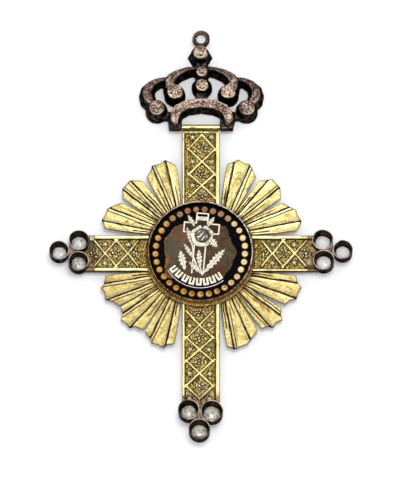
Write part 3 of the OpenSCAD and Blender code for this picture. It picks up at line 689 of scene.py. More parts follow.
def make_arm(name, material):
    """One arm of the cross, left open where the cups stand."""
    arm = ARMS[name]
    seed = 10 + 7 * list(ARMS).index(name)
    across = np.linspace(-ARM_HALF, ARM_HALF, int(2 * ARM_HALF / ARM_PITCH) + 1)
    along = np.linspace(ARM_ROOT, arm["reach"], int((arm["reach"] - ARM_ROOT) / ARM_PITCH) + 1)
    u, v = np.meshgrid(across, np.concatenate([along[:HIDDEN_ROWS:8], along[HIDDEN_ROWS:]]))
    c, s = (round(f(math.radians(arm["turn"]))) for f in (math.cos, math.sin))
    x, y = u * c - v * s, u * s + v * c
    height, marks = arm_front(u, v, arm, seed)
    shine = marks["shine"]
    # Painted shade: the shade laid round the ribs, florets, stars, rails and plates, and darkening where the front lies
    # below its blurred height, become the black in the recesses.
    shade = unit(marks.pop("shade")) * (0.75 + 0.4 * flat_cloud(u, v, 0.5, seed + 6))
    recess = unit(shade - (height - blurred(height, 4)) * 2.0) * (1 - shine)
    stain = 0.45 * fade(0.15, 0.75, flat_cloud(x, y, 2.2, seed + 5)) * (1 - 0.6 * shine)
    green = np.zeros_like(u)
    if arm["turn"] == 0:
        green = fade(30.8, 30.95, v) * (0.75 + 0.5 * flat_cloud(x, y, 1.0, 77))
        green += 0.5 * fade(28.5, 30.2, v) * fade(0.2, 0.6, flat_cloud(x, y, 0.9, 78)) * fade(0.0, 0.5, u)
    else:
        # Brown and dark towards the cups
        end = fade(arm["rail_end"] - 2.4, arm["rail_end"] + 0.6, v)
        recess = unit(recess + 0.36 * end * fade(-0.1, 0.4, flat_cloud(u, v, 0.7, seed + 14)) * (1 - shine))
        stain = stain + 0.85 * end * (1 - 0.40 * shine)
    mid_x, mid_y = ((g[1:, 1:] + g[:-1, :-1]) / 2 for g in (x, y))
    cups = [cup for cups in TREFOILS.values() for cup in cups]
    shape = Shape()
    # The walls and underside are painted brown and dark as shade.
    shape.add_slab(
        np.stack([x, y, height], -1), np.stack([x, y, np.full_like(x, ARM_BACK + 0.02)], -1), (6, 6),
        {"stain": 0.8, "recess": 0.35}, np.all([np.hypot(mid_x - cx, mid_y - cy) > r - 0.3 for cx, cy, r in cups], 0),
        recess=recess, stain=unit(stain), verdigris=unit(green), **marks)
    if arm["turn"] == 0:
        add_barrel(shape)
    shape.finish(name, material)


def add_barrel(shape):
    """Rolled end of the top arm, a tube round the hinge pin, green in the groove beside it."""
    a, x = np.meshgrid(np.linspace(0, 2 * np.pi, 48, endpoint=False), np.linspace(-ARM_HALF, ARM_HALF, 60))
    roll = np.stack([x, np.cos(a), np.sin(a)], -1)
    wave, ragged = 0.02 * cloud(roll, 1.2, 91), 0.25 * cloud(roll, 0.8, 93)
    tube, bore = (
        np.stack([x, HINGE_Y + r * np.cos(a), HINGE_Z + r * np.sin(a)], -1)
        for r in (BARREL_R - 0.02 + np.minimum(wave, 0.02), BORE_R))
    # Painted light: the upper side is painted polished bright as a highlight, the lower front side darker as shade
    # under its green, and the bore and the tube's ends dark as shade.
    upper = fade(-0.40, -0.10, np.cos(a) + 0.5 * ragged) * fade(0.0, 0.4, np.sin(a))
    lower = fade(-0.20, -0.45, np.cos(a) + ragged) * fade(0.0, 0.3, np.sin(a))
    shape.add_grid(
        tube, around=True, shine=upper, stain=unit(wave * 12), grain=0.4,
        verdigris=lower * fade(4.2, -1.0, x + 6 * ragged), recess=0.35 * lower)
    shape.add_grid(bore, around=True, flip=True, recess=1.0)
    for end, flip in ((0, True), (-1, False)):
        shape.add_grid(np.stack([tube[end], bore[end]]), around=True, flip=flip, recess=0.3)


# Rays

RAY_CREST, RAY_ROOT = 2.6, 10.8
# The folds of a quadrant run together at a point this far out on its diagonal
FAN_SHIFT, FAN_R = 6.2, 24.4
# Diagonal and lobes of each quadrant. A lobe has two folds, as angles at the rim with the side on which a
# second line runs beside it, and its cut edge as angles and radii.
QUADRANTS = {
    "rays_upper_right": (45, [
        ([(19.3, 0), (28.9, -1)],
         [(13.9, 23.6), (19.0, 25.5), (23.0, 25.15), (26.2, 25.45), (28.9, 24.4), (32.8, 23.4)]),
        ([(41.5, 1), (48.9, 0)],
         [(35.7, 23.6), (41.3, 25.3), (44.5, 25.35), (47.8, 25.55), (49.8, 24.3), (52.4, 23.3)]),
        ([(62.0, -1), (71.0, 0)], [(55.9, 23.4), (62.6, 25.5), (65.5, 25.1), (68.8, 25.5), (71.2, 24.5), (74.8, 23.5)]),
    ]),
    "rays_upper_left": (135, [
        ([(110.2, 0), (118.2, -1)],
         [(104.6, 23.1), (110.4, 25.2), (113.7, 24.8), (118.1, 25.2), (119.8, 24.2), (123.8, 23.3)]),
        ([(132.6, 1), (139.2, -1)],
         [(127.5, 23.2), (132.8, 25.2), (135.5, 25.1), (139.0, 25.05), (140.8, 24.3), (143.6, 23.4)]),
        ([(152.2, 1), (160.4, 0)],
         [(146.6, 23.1), (152.9, 25.2), (156.0, 25.0), (160.3, 25.3), (161.8, 24.7), (164.8, 24.0)]),
    ]),
    "rays_lower_left": (225, [
        ([(198.1, 1), (207.6, 1)],
         [(193.5, 23.6), (198.4, 24.5), (200.1, 25.6), (203.3, 25.1), (207.0, 25.7), (209.9, 24.2), (213.9, 23.5)]),
        ([(218.8, 1), (227.6, 0)],
         [(214.6, 23.6), (218.9, 24.1), (221.0, 25.5), (224.2, 25.1), (227.5, 25.4), (229.3, 24.2), (234.4, 23.6)]),
        ([(240.3, 1), (249.6, 0)],
         [(235.5, 23.8), (240.6, 24.6), (242.0, 25.4), (245.4, 25.1), (248.8, 25.4), (250.8, 24.3), (254.7, 23.5)]),
    ]),
    "rays_lower_right": (315, [
        ([(288.5, 1), (298.6, 0)],
         [(284.8, 24.1), (289.0, 25.4), (292.0, 25.2), (296.4, 25.3), (299.2, 24.6), (305.1, 23.6)]),
        ([(312.2, -1), (320.7, 1)],
         [(307.4, 23.8), (311.0, 24.3), (312.8, 25.4), (316.0, 25.0), (319.4, 25.7), (321.2, 24.5), (324.5, 23.8)]),
        ([(333.6, 0), (342.2, 0)],
         [(327.6, 23.8), (331.2, 24.4), (333.2, 25.6), (337.2, 25.2), (340.2, 25.6), (342.2, 24.4), (346.4, 23.5)]),
    ]),
}

# How brown each quadrant is all over, by its diagonal
RAY_BROWN = {45: 0.14, 135: 0.19, 225: 0.45, 315: 0.40}
# Stains on the rays: rim angle, distance from the crossing, half length, half width, brown and olive
RAY_STAINS = [
    (136.4, 17.4, 3.6, 0.85, 1.0, 0.0), (113.4, 19.0, 4.5, 0.8, 0.45, 0.5), (110.9, 21.0, 4.4, 0.55, 0.9, 0.6),
    (155.6, 16.4, 2.8, 0.7, 0.5, 0.1), (157.6, 19.6, 0.55, 0.38, 1.0, 0.9), (66.2, 21.4, 2.6, 1.1, 0.0, 0.75),
    (74.0, 23.0, 1.6, 0.4, 0.1, 0.6), (56.9, 20.2, 1.8, 0.35, 0.8, 0.0), (53.0, 20.6, 1.4, 0.5, 0.85, 0.1),
    (44.6, 17.4, 1.8, 0.5, 0.7, 0.1), (38.6, 20.0, 2.4, 0.4, 0.3, 0.5), (31.4, 19.2, 2.2, 0.3, 0.35, 0.4),
    (16.6, 19.0, 2.8, 0.5, 0.5, 0.1), (201.4, 20.6, 3.2, 0.7, 0.3, 0.6), (200.4, 19.6, 0.45, 0.34, 1.0, 0.9),
    (222.8, 18.6, 4.2, 0.8, 0.35, 0.35), (231.0, 20.6, 2.2, 0.5, 0.7, 0.0), (233.0, 15.4, 1.8, 0.4, 0.3, 0.8),
    (244.6, 19.8, 3.4, 0.8, 0.25, 0.35), (252.6, 18.6, 4.0, 0.4, 0.5, 0.1), (297.4, 23.6, 1.6, 0.7, 0.2, 0.9),
    (302.0, 21.0, 2.4, 0.45, 0.4, 0.5), (318.6, 19.4, 3.8, 0.65, 1.0, 0.0), (315.0, 15.6, 2.2, 0.5, 0.2, 0.5),
    (338.0, 20.6, 2.8, 0.8, 0.1, 0.3), (331.2, 23.8, 1.2, 0.4, 0.1, 0.8), (292.6, 21.6, 3.0, 0.8, 0.3, 0.15),
]


def fan_point(angle, diagonal, r):
    """Point at distance r from the crossing, on the crease that meets the rim at this angle."""
    apex = FAN_SHIFT * np.array([math.cos(math.radians(diagonal)), math.sin(math.radians(diagonal))])
    run = FAN_R * np.stack([np.cos(np.radians(angle)), np.sin(np.radians(angle))], -1) - apex
    run = run / np.linalg.norm(run, axis=-1, keepdims=True)
    along = run @ apex
    return apex + run * (np.sqrt(along ** 2 + r ** 2 - FAN_SHIFT ** 2) - along)[..., None]


def add_lobe(shape, creases, cut, in_first, in_last, diagonal, seed):
    """One lobe: two folds with a painted highlight and a line beside them, tool lines, a cut tip, stains, and black in
    its creases and along its edges that is partly painted shade.
    """
    rng = np.random.default_rng(seed)
    corners, folds = [a for a, _ in cut], [a for a, _ in creases]
    first, last = corners[0], corners[-1]
    rim = np.unique(np.concatenate([np.linspace(first, last, 90), corners, folds]))
    out = np.interp(rim, corners, [r for _, r in cut])
    inner = np.interp(rim, [first, *folds, last], [in_first, *folds, in_last])
    panel = np.interp(rim, [first, *folds, last], range(4))
    k = np.concatenate([[0, 0.06], np.linspace(0.11, 1, 74)])[:, None]
    r = RAY_ROOT + (out - RAY_ROOT) * k
    xy = fan_point(inner + (rim - inner) * unit((r - 14.2) / (out - 14.2)), diagonal, r)
    points = np.concatenate([xy, np.zeros_like(r)[..., None]], -1)
    # Millimetres across the fan for each degree of rim angle
    pitch = math.radians(FAN_R) * (r - FAN_SHIFT) / (FAN_R - FAN_SHIFT)
    wander = 0.05 * cloud(points, 1.8, seed + 3) + 0.025 * cloud(points, 0.5, seed + 12)
    swell = 1 + 0.3 * cloud(points, 1.1, seed + 11)
    bow = 1 - np.abs(2 * (panel % 1) - 1) ** 4
    drop = np.where((panel > 1) & (panel < 2), 0.24, 0.15) * (0.35 + 0.65 * k) * bow
    relief = Relief(r, "sink recess crest stain olive")

    def score(at_angle, half, depth, dark, end=1.0):
        d = np.abs((rim - at_angle) * pitch + wander) / swell
        span = fade(-0.04, 0.02, k) * fade(end + 0.04, end - 0.02, k)
        relief.lay(sink=depth * unit(1 - d / half) * span, recess=dark * fade(half, half * 0.68, d) * span)

    for fold, beside in creases:
        score(fold, (0.23 + 0.04 * rng.uniform(-1, 1)) * (0.70 + 0.45 * k), 0.34, 1.25)
        lit = (rim - fold) * pitch + wander
        side = beside if beside else rng.choice([-1, 1])
        # A painted highlight runs beside each fold
        relief.lay(crest=fade(0.16, 0.06, np.abs(lit - side * 0.40)) * (0.7 + 0.3 * rng.uniform()))
        if beside:
            # A second, thinner line on the far side of the bright one
            start = rng.uniform(0.1, 0.3)
            line = fade(0.10 + 0.06 * k, 0.04, np.abs(lit - side * 0.74)) * fade(start, start + 0.1, k)
            line = line * (0.65 + 0.3 * rng.uniform())
            relief.lay(recess=line, sink=0.12 * line)
    # Light tool lines along the panels, strongest near the bezel: how far one strays from the middle of its
    # panel, half width, depth, darkness and reach
    side_line, middle_line = (0.12, 0.12, 0.06, (0.7, 1.0), (0.4, 0.8)), (0.15, 0.11, 0.04, (0.5, 0.9), (0.3, 0.55))
    for a, b, line in ((first, folds[0], side_line), (last, folds[1], side_line), (*folds, middle_line)):
        stray, half, depth, dark, reach = line
        at_angle = a + (b - a) * rng.uniform(0.5 - stray, 0.5 + stray)
        score(at_angle, half, depth, rng.uniform(*dark), rng.uniform(*reach))
    side = np.minimum(np.abs(rim - first), np.abs(rim - last)) * pitch
    inward = fade(0.75, 0.25, k)
    tip = np.max([np.exp(-((rim - a) / 0.7) ** 2) for a in folds], axis=0)
    # Painted shade of the gaps between lobes along the lobe's sides, strongest near the bezel, and dark along its cut
    # edge, most at the tips
    relief.lay(recess=(0.85 + 0.4 * inward) * fade(0.16 + 0.03 * inward, 0.05, side))
    relief.lay(recess=(0.8 + 0.6 * tip) * fade(0.20 + 0.62 * tip, 0.05, out - r))
    z = RAY_CREST - 0.04 - drop - relief["sink"] - 0.10 * unit(1 - side / 0.3) ** 2 - 0.12 * fade(0.35, 0.0, out - r)
    z = np.minimum(z + 0.025 * cloud(points, 2.2, seed) + 0.012 * cloud(points, 0.6, seed + 1), RAY_CREST)
    under = np.minimum(z, RAY_CREST - drop - 0.12) - 0.42
    streak_at = np.stack([(rim - first) * pitch * 2.2, r * 0.35, np.zeros_like(r)], -1)
    streak = fade(0.30, 0.85, cloud(streak_at, 1.0, seed + 2))
    brown_all = RAY_BROWN[diagonal]
    relief.lay(
        stain=brown_all + 0.28 * streak * bow,
        olive=0.5 * brown_all + 0.25 * fade(0.45, 0.9, cloud(streak_at, 1.3, seed + 5)))
    for at_angle, at_r, half_long, half_wide, brown, green in RAY_STAINS:
        if first - 1 < at_angle < last + 1:
            d = np.hypot((rim - at_angle) * pitch / half_wide, (r - at_r) / half_long)
            spot = fade(1.15, 0.25, d + 0.45 * cloud(points, 0.7, seed + 7))
            relief.lay(stain=brown * spot, olive=green * spot)
    # Browner round the bezel's foot
    from_ring = np.hypot(points[..., 0] - MEDALLION[0], points[..., 1] - MEDALLION[1]) - 13.1
    relief.lay(stain=0.85 * fade(1.5, 0.0, from_ring + 0.5 * cloud(points, 0.8, seed + 11)))
    # The black in the creases and along the edges comes and goes
    recess = unit(relief["recess"]) * np.clip(1.10 + 0.45 * cloud(points, 0.9, seed + 9), 0.62, 1.2)
    grain = np.abs(cloud(streak_at * [1.6, 0.5, 1], 1.0, seed + 8))
    # The walls and underside are painted dark and brown as shade.
    shape.add_slab(
        points + z[..., None] * [0, 0, 1], points + under[..., None] * [0, 0, 1], (7, 1),
        {"recess": 0.75, "stain": 0.6}, recess=unit(recess), crest=unit(relief["crest"]),
        stain=unit(relief["stain"]), olive=unit(relief["olive"]),
        along=unit(0.5 * streak + 0.5 * fade(0.6, 0.05, k) * grain))


def make_rays(name, material):
    """One quadrant of the star: three lobes and the web that holds them."""
    diagonal, lobes = QUADRANTS[name]
    ends = [(cut[0][0], cut[-1][0]) for _, cut in lobes]
    shape = Shape()
    for i, (creases, cut) in enumerate(lobes):
        in_first = ends[i][0] - 2.2 if i == 0 else (ends[i - 1][1] + ends[i][0] + 0.25) / 2
        in_last = ends[i][1] + 2.2 if i == 2 else (ends[i][1] + ends[i + 1][0] - 0.25) / 2
        add_lobe(shape, creases, cut, in_first, in_last, diagonal, 200 + diagonal + 10 * i)
    # Web under the bezel that holds the lobes together, painted dark as shade under it
    arc = np.linspace(ends[0][0] + 0.6, ends[2][1] - 0.6, 24)
    web = np.stack([np.insert(fan_point(arc, diagonal, r), 2, 1.98, axis=-1) for r in (10.9, 12.2)])
    shape.add_slab(web, web - [0, 0, 0.3], (1, 1), {"recess": 0.5}, recess=0.5)
    shape.finish(name, material)


# Medallion

# Outline of the bezel, radii and heights: its flank above the foot, and its rim
BEZEL_FLANK = [
    (13.15, 0), (13.2, 0.1), (13.2, 0.35), (13.12, 0.5), (12.98, 0.62), (12.88, 0.85), (12.8, 1.2), (12.75, 1.6),
]
BEZEL_RIM = [
    (12.72, 5.05), (12.7, 5.25), (12.68, 5.4), (12.64, 5.5), (12.57, 5.56), (12.50, 5.6), (12.42, 5.59), (12.34, 5.55),
    (12.27, 5.48), (12.2, 5.36),
]


def make_bezel(material):
    """Ring with a spreading foot, a hollow side and a rolled rim."""
    inner = DISC_R + 0.05
    flank = [(r, BEZEL_FOOT + z) for r, z in BEZEL_FLANK]
    points = turned(
        [(inner, BEZEL_FOOT), *flank, *BEZEL_RIM, (inner, 5.1), (inner, 4.7), (inner, BEZEL_FOOT)], 420, MEDALLION)
    out = points[..., :2] - MEDALLION
    r, angle = np.hypot(out[..., 0], out[..., 1]), np.arctan2(out[..., 1], out[..., 0])
    z = points[..., 2]
    wave = 0.06 * cloud(points, 1.8, 301) + 0.06 * cloud(points, 0.5, 302)
    outer = (z > 3.0) & (r > inner + 0.06)
    points[..., :2] = out * (1 + np.where(outer, np.minimum(wave, 0.0), 0) / r)[..., None] + MEDALLION
    z -= np.where(z > 5.2, 0.05 * np.abs(cloud(points, 0.7, 303)), 0)
    r = r + 0.05 * cloud(points, 0.9, 304)
    broad = 0.08 * fade(0.0, 0.8, np.cos(angle - 0.7))
    # The painted highlight on the rim is widest at the upper right and right
    gleam = fade(-0.2, 0.9, np.cos(angle - 0.6)) * (0.6 + 0.6 * cloud(points, 1.2, 305))
    shape = Shape()
    shape.add_grid(
        points, around=True, inside=fade(12.34, 12.26, r),
        edge=fade(12.40 - broad, 12.46 - broad, r) * fade(12.66 + broad, 12.58 + broad, r) * fade(5.3, 5.45, z),
        gleam=unit(gleam + 0.5 * fade(0.75, 1.0, np.cos(angle - 2.3))),
        foot=outer * fade(5.3, 4.8, z) * fade(0.2, -0.5, np.sin(angle)))
    shape.finish("bezel", material)


def make_studs(material):
    """Domed studs, each a little different, with a redder hollow in the top."""
    shape = Shape()
    rng = np.random.default_rng(41)
    base = DISC_FACE + 0.05
    for i in range(STUD_COUNT):
        angle = math.radians(360 * i / STUD_COUNT + 8.2)
        ring = STUD_RING_R + rng.uniform(-0.06, 0.06)
        way = np.array([math.cos(angle), math.sin(angle)])
        centre = MEDALLION + ring * way
        r = STUD_R + rng.uniform(-0.04, 0.02)
        high = STUD_RISE + rng.uniform(-0.04, 0.04)
        bend = np.linspace(0, math.pi / 2, 14)[:-1]
        profile = [(r, DISC_FACE - 0.02), *((r * math.cos(t) ** 0.8, base + high * math.sin(t)) for t in bend)]
        points = turned([*profile, (0.0, base + high)], 32, centre)
        # Painted light and shade: studs on the right of the ring are painted pale as if lit, those at the top darker as
        # if in shade, each stud paler towards its upper left and darker on its right, and the dark spot of the dent is
        # set off towards the shaded side.
        foot = fade(-0.35, -0.9, way[1])
        off = rng.uniform(-0.10, 0.10, 2) - 0.10 * way + 0.16 * foot * np.array([0.8, 0.6])
        dx, dy = points[..., 0] - centre[0], points[..., 1] - centre[1]
        d = np.hypot(dx - off[0], dy - off[1]) / (rng.uniform(0.28, 0.48) + 0.16 * foot)
        points[..., 2] -= 0.10 * unit(1 - d ** 2)
        points[..., 2] += 0.035 * cloud(points, 0.5, 600 + i)
        right = 0.5 + 0.5 * math.cos(angle + 0.12)
        pale = 0.20 + 0.85 * right ** 2.2 + rng.uniform(-0.10, 0.10) - 0.30 * foot - 0.25 * (dx - dy)
        dim = fade(0.55, 0.88, way[1] - 0.03 * way[0]) * rng.uniform(0.75, 1.0)
        shape.add_grid(
            points, around=True, pale=unit(pale), rim=fade(0.80, 1.0, np.hypot(dx, dy) / r) * 0.8,
            dim=unit(dim + 0.35 * fade(0.1, 0.7, (dx + dy * -0.4) / r) * (1 - right)),
            dent=unit(fade(1.5, 0.1, d) * rng.uniform(0.35, 0.8) * (1 + foot)))
    shape.finish("stud_ring", material)


# The brown patch is bounded by straight worn lines: a point on each, and the way towards the middle
PATCH_EDGES = [
    (-8.55, 0.5, 1.0, 0.02), (-8.0, 3.6, 0.80, -0.60), (-6.2, 6.0, 0.55, -0.83), (-3.0, 7.6, 0.25, -0.97),
    (4.9, 6.9, -0.35, -1.0), (6.6, 5.0, -0.92, -0.40), (8.3, 1.2, -0.92, -0.38), (8.55, -0.4, -1.0, 0.1),
    (7.6, -3.4, -0.95, 0.30), (5.9, -5.8, -0.8, 0.6), (0.0, -6.6, 0.02, 1.0),
]
CROSS_AT, CROSS_LEAN = (0.28, 6.05), math.radians(-5)
# The hollow cross, measured from its own crossing: half width of its bars, their ends and the foot
CROSS_HALF, CROSS_ARM, CROSS_HIGH, CROSS_HEAD, CROSS_FOOT = 1.36, 4.2, 1.2, 3.72, -11.4
ROSE_AT, ROSE_R = (0.41, 4.05), 2.72
# Leaves: foot, tip, half width and number of teeth. The leaf at place OVER lies on the rose.
LEAVES = [
    (-1.45, 6.6, -2.95, 9.35, 0.60, 4), (1.75, 6.5, 3.35, 8.85, 0.58, 4), (1.65, 4.05, 4.05, 1.25, 0.95, 5),
    (-1.95, 1.6, -3.25, 6.3, 0.58, 6), (-1.6, -1.7, -3.95, 2.15, 0.56, 5), (-0.1, -3.8, -0.4, 0.7, 0.78, 5),
    (1.0, -5.0, 5.85, 0.75, 1.02, 7), (-3.75, -4.3, -4.85, 0.35, 1.0, 5), (0.2, -5.35, -2.75, -2.4, 0.66, 5),
]
OVER = 2
STALKS = [
    [(0.45, -5.7), (-0.9, -3.3), (-1.75, -0.8), (-1.95, 2.0)], [(-1.15, -3.0), (-1.65, -1.4)],
    [(0.45, -5.7), (-0.1, -3.4)], [(0.45, -5.7), (1.3, -4.6)], [(0.45, -5.7), (-0.2, -5.0)],
]
# The U-shaped blocks: angle about the disc's middle, distance and turn of each
STEPS = [
    (213.7, 7.72, 4), (227.3, 7.52, 2), (241.4, 7.52, 0), (254.2, 7.56, 0),
    (267.4, 7.48, 0), (280.1, 7.52, 0), (292.4, 7.50, -2), (305.9, 7.55, -4),
]


def make_disc(material):
    """Polished disc with a ragged brown patch under the emblem."""
    profile = [*((r, DISC_FACE) for r in (*np.linspace(0.02, 11.8, 124), 12.0)), (12.08, DISC_FACE - 0.02)]
    steps, edge = 336, (DISC_R, DISC_FACE - 0.08)
    points = turned([*profile, edge], steps, MEDALLION)[::-1]
    x, y = points[..., 0] - MEDALLION[0], points[..., 1] - MEDALLION[1]
    depth = np.min([((x - ax) * nx + (y - ay) * ny) / math.hypot(nx, ny) for ax, ay, nx, ny in PATCH_EDGES], axis=0)
    depth = np.minimum(depth, 9.0) + 0.32 * flat_cloud(x, y, 1.3, 51) + 0.12 * flat_cloud(x, y, 0.4, 52)
    patch = fade(-0.10, 0.12, depth)
    u, v = cross_frame(x, y)
    bars = (np.abs(u) < CROSS_ARM) & (np.abs(v) < CROSS_HIGH) | (np.abs(u) < CROSS_HALF) & (v > 0) & (v < 2.0)
    shape = Shape()
    shape.add_grid(
        points, around=True, patch=patch, hollow=bars.astype(float),
        glow=fade(1.5, 0.1, np.hypot((x + 8.15 - 0.35 * (y + 2.6)) * 2.0, (y + 2.6) * 0.6)) * patch,
        wine=fade(2.2, 0.3, np.hypot(x - 3.9, (y + 4.9) * 0.9)) * patch,
        cool=fade(4.2, 0.8, np.hypot(x + 5.6, (y - 1.4) * 0.8)) * patch,
        warm=fade(3.6, 0.6, np.hypot((x + 4.4) * 0.8, y - 4.4)) * patch,
        verge=fade(0.42, 0.05, depth) * patch * fade(1.0, -2.0, x))
    shape.add_grid(turned([(DISC_R, 3.0), edge], steps, MEDALLION), around=True)
    shape.finish("shell_disc", material)


def cross_frame(x, y):
    """Place on the disc, across and along the leaning cross."""
    c, s = math.cos(CROSS_LEAN), math.sin(CROSS_LEAN)
    return (x - CROSS_AT[0]) * c + (y - CROSS_AT[1]) * s, (y - CROSS_AT[1]) * c - (x - CROSS_AT[0]) * s


def cross_chains():
    """Centre lines of the emblem's hollow cross in its own frame, as chains of points."""
    for side in (-1, 1):
        half, arm = side * CROSS_HALF, side * CROSS_ARM
        yield [(half, CROSS_HIGH), (half, CROSS_HEAD)]
        yield [(half, CROSS_HIGH), (arm, CROSS_HIGH), (arm, -CROSS_HIGH), (half, -CROSS_HIGH)]
        yield [(half, -CROSS_HIGH), (half, CROSS_FOOT)]
    yield [(-CROSS_HALF, CROSS_HEAD), (CROSS_HALF, CROSS_HEAD)]


def in_leaf(x, y, leaf):
    """Depth inside a saw-toothed leaf, how far across it and how far along it a point lies."""
    bx, by, tx, ty, half, teeth = leaf
    length = math.hypot(tx - bx, ty - by)
    rx, ry = (tx - bx) / length, (ty - by) / length
    along = ((x - bx) * rx + (y - by) * ry) / length
    across = (y - by) * rx - (x - bx) * ry
    slanted = along - 0.16 * np.abs(across) / half
    body = np.sin(np.pi * unit(slanted * 0.90 + 0.08) ** 0.85)
    tooth = 1 - np.mod(slanted * teeth + 0.25 * (across > 0), 1.0)
    width = half * body * (0.50 + 0.54 * tooth)
    return np.where((along > -0.02) & (along < 1.02), width - np.abs(across), -1.0), across, slanted


def emblem_field(left=-6.2, right=6.4, low=-8.9, high=10.2):
    """Fine grid over the disc, measured from its middle."""
    cell = 0.05
    return np.meshgrid(np.arange(left, right, cell), np.arange(low, high, cell))


def from_rose(x, y):
    return np.hypot(x - ROSE_AT[0], y - ROSE_AT[1])


def add_inlay(shape, x, y, depth, high, recess=0.0, shade=0.0):
    """Low relief on the disc wherever depth, the distance inside the outline, is above zero."""
    z = DISC_FACE - 0.03 + (0.03 + high) * fade(-0.02, 0.09, depth)
    inside = depth > -0.01
    keep = inside[1:, 1:] | inside[:-1, :-1] | inside[1:, :-1] | inside[:-1, 1:]
    points = np.stack([x + MEDALLION[0], y + MEDALLION[1], z], -1)
    recess = unit(recess + fade(0.035, -0.01, depth) * 0.5)
    shape.add_grid(points, keep=keep, recess=recess, shade=unit(shade))


def make_emblem_cross(material):
    """Thin hollow cross behind the rose and the leaves, with a bare label plate across its head."""
    x, y = emblem_field()
    u, v = cross_frame(x, y)
    lines = [ends for chain in cross_chains() for ends in zip(chain, chain[1:])]
    plate = np.minimum(1.30 - np.abs(u), 0.50 - np.abs(v - 2.42))
    depth = np.max([plate, *(0.185 - to_segment(u, v, a, b)[0] for a, b in lines)], axis=0)
    depth = np.minimum(depth, from_rose(x, y) - ROSE_R - 0.08)
    for leaf in LEAVES:
        depth = np.minimum(depth, -in_leaf(x, y, leaf)[0] - 0.06)
    # The foot ends behind the row of blocks
    around = np.degrees(np.arctan2(y, x)) % 360
    depth = np.where((around > 207) & (around < 313) & (np.hypot(x, y) > 6.45), -1.0, depth)
    worn = 0.45 * fade(0.0, 0.5, flat_cloud(x, y, 0.45, 811))
    # Worn nicks in a row along the label, too far gone to read
    for at_u, tall in ((-0.72, 0.16), (-0.30, 0.22), (0.10, 0.13), (0.42, 0.13), (0.80, 0.12)):
        worn = np.maximum(worn, fade(1.2, 0.6, np.hypot((u - at_u) / 0.12, (v - 2.46) / tall)))
    shape = Shape()
    add_inlay(shape, x, y, depth, 0.16, shade=worn * (plate > 0))
    shape.finish("emblem_cross", material)


def make_emblem_rose(material):
    """Open rose: rounded outer petals with a notch on top, a dark ring and a streaked bloom."""
    x, y = emblem_field()
    dx, dy = x - ROSE_AT[0], y - ROSE_AT[1]
    r, angle = from_rose(x, y), np.arctan2(dy, dx)
    notch = 0.75 * np.exp(-((angle - 1.52) / 0.14) ** 2)
    side_cut = 0.30 * np.exp(-((angle + 0.55) / 0.38) ** 2)
    waves = np.cos(5 * (angle - 1.55))
    ring = np.minimum(ROSE_R + 0.12 * waves - notch - side_cut - r, r - 1.62)
    ring = np.minimum(ring, -in_leaf(x, y, LEAVES[OVER])[0] - 0.10)
    petals = 0.22 + 0.07 * waves + 0.08 * np.cos((r - 2.1) * 3.0)
    fold = fade(0.10, 0.0, np.abs(angle - 1.52) * r)
    for at_angle, strength in ((0.15, 0.9), (-1.05, 0.8), (-2.35, 0.85), (2.75, 0.9)):
        gap = np.abs((angle - at_angle + np.pi) % (2 * np.pi) - np.pi - 0.12 * (r - 2.1)) * r
        fold = np.maximum(fold, strength * fade(0.14, 0.03, gap))
    # Dark inner ring, and painted shade darkening the petals towards the right
    shade = 0.75 * fade(2.05, 1.62, r) + 0.60 * fade(0.2, 1.0, np.cos(angle - 0.1)) * fade(2.6, 1.9, r)
    shade = shade + 0.40 * fade(0.15, 0.7, flat_cloud(x, y, 0.6, 821))
    shape = Shape()
    add_inlay(shape, x, y, ring, petals, fold * 0.85, shade)
    bloom = 1.44 - r
    # Strokes that curve across the bloom from the lower left to the upper right
    slope = dx * 0.66 - dy * 0.75 + 0.20 * dx * dx
    strokes = fade(0.30, 0.80, np.cos(slope * 6.6 + 1.9 + 0.7 * np.sin(dx * 2.4 + dy))) * fade(1.25, 0.2, dx + 0.5 * dy)
    strokes = strokes * fade(-0.25, 0.25, bloom - 0.15 + 0.3 * flat_cloud(x, y, 0.4, 822))
    # A painted highlight along the bloom's upper left rim
    strokes = np.maximum(strokes, fade(0.30, 0.05, bloom) * fade(0.1, 0.9, np.cos(angle - 2.0)) * 0.7)
    grey = (1 - strokes) * (1.05 - 0.45 * fade(0.1, 0.6, flat_cloud(x, y, 0.5, 823)))
    add_inlay(shape, x, y, bloom, 0.26 + 0.12 * strokes, grey * 0.45, grey)
    shape.finish("emblem_rose", material)


def make_emblem_leaves(material):
    """Saw-toothed leaves with veins, and their stalks."""
    x, y = emblem_field()
    depth, vein = np.full_like(x, -1.0), np.zeros_like(x)
    for leaf in LEAVES:
        inside, across, along = in_leaf(x, y, leaf)
        across = np.abs(across)
        depth = np.maximum(depth, inside)
        middle = fade(0.09, 0.03, across) * fade(0.0, 0.12, along) * fade(0.98, 0.8, along)
        ribs = fade(0.16, 0.06, np.abs(np.mod(along * leaf[5] - across * 0.9, 1.0) - 0.5)) * fade(0.10, 0.2, across)
        vein = np.maximum(vein, np.where(inside > -0.02, np.maximum(middle, ribs * 0.55), 0))
    for chain in STALKS:
        for a, b in zip(chain, chain[1:]):
            depth = np.maximum(depth, 0.14 - to_segment(x, y, a, b)[0])
    bloom = from_rose(x, y) - ROSE_R - 0.06
    over = np.where(from_rose(x, y) > 1.91, in_leaf(x, y, LEAVES[OVER])[0], -1.0)
    shape = Shape()
    worn = 0.25 * fade(0.2, 0.8, flat_cloud(x, y, 0.5, 831))
    add_inlay(shape, x, y, np.maximum(np.minimum(depth, bloom), over), 0.26 - 0.10 * vein, vein * 0.75, worn)
    shape.finish("emblem_leaves", material)


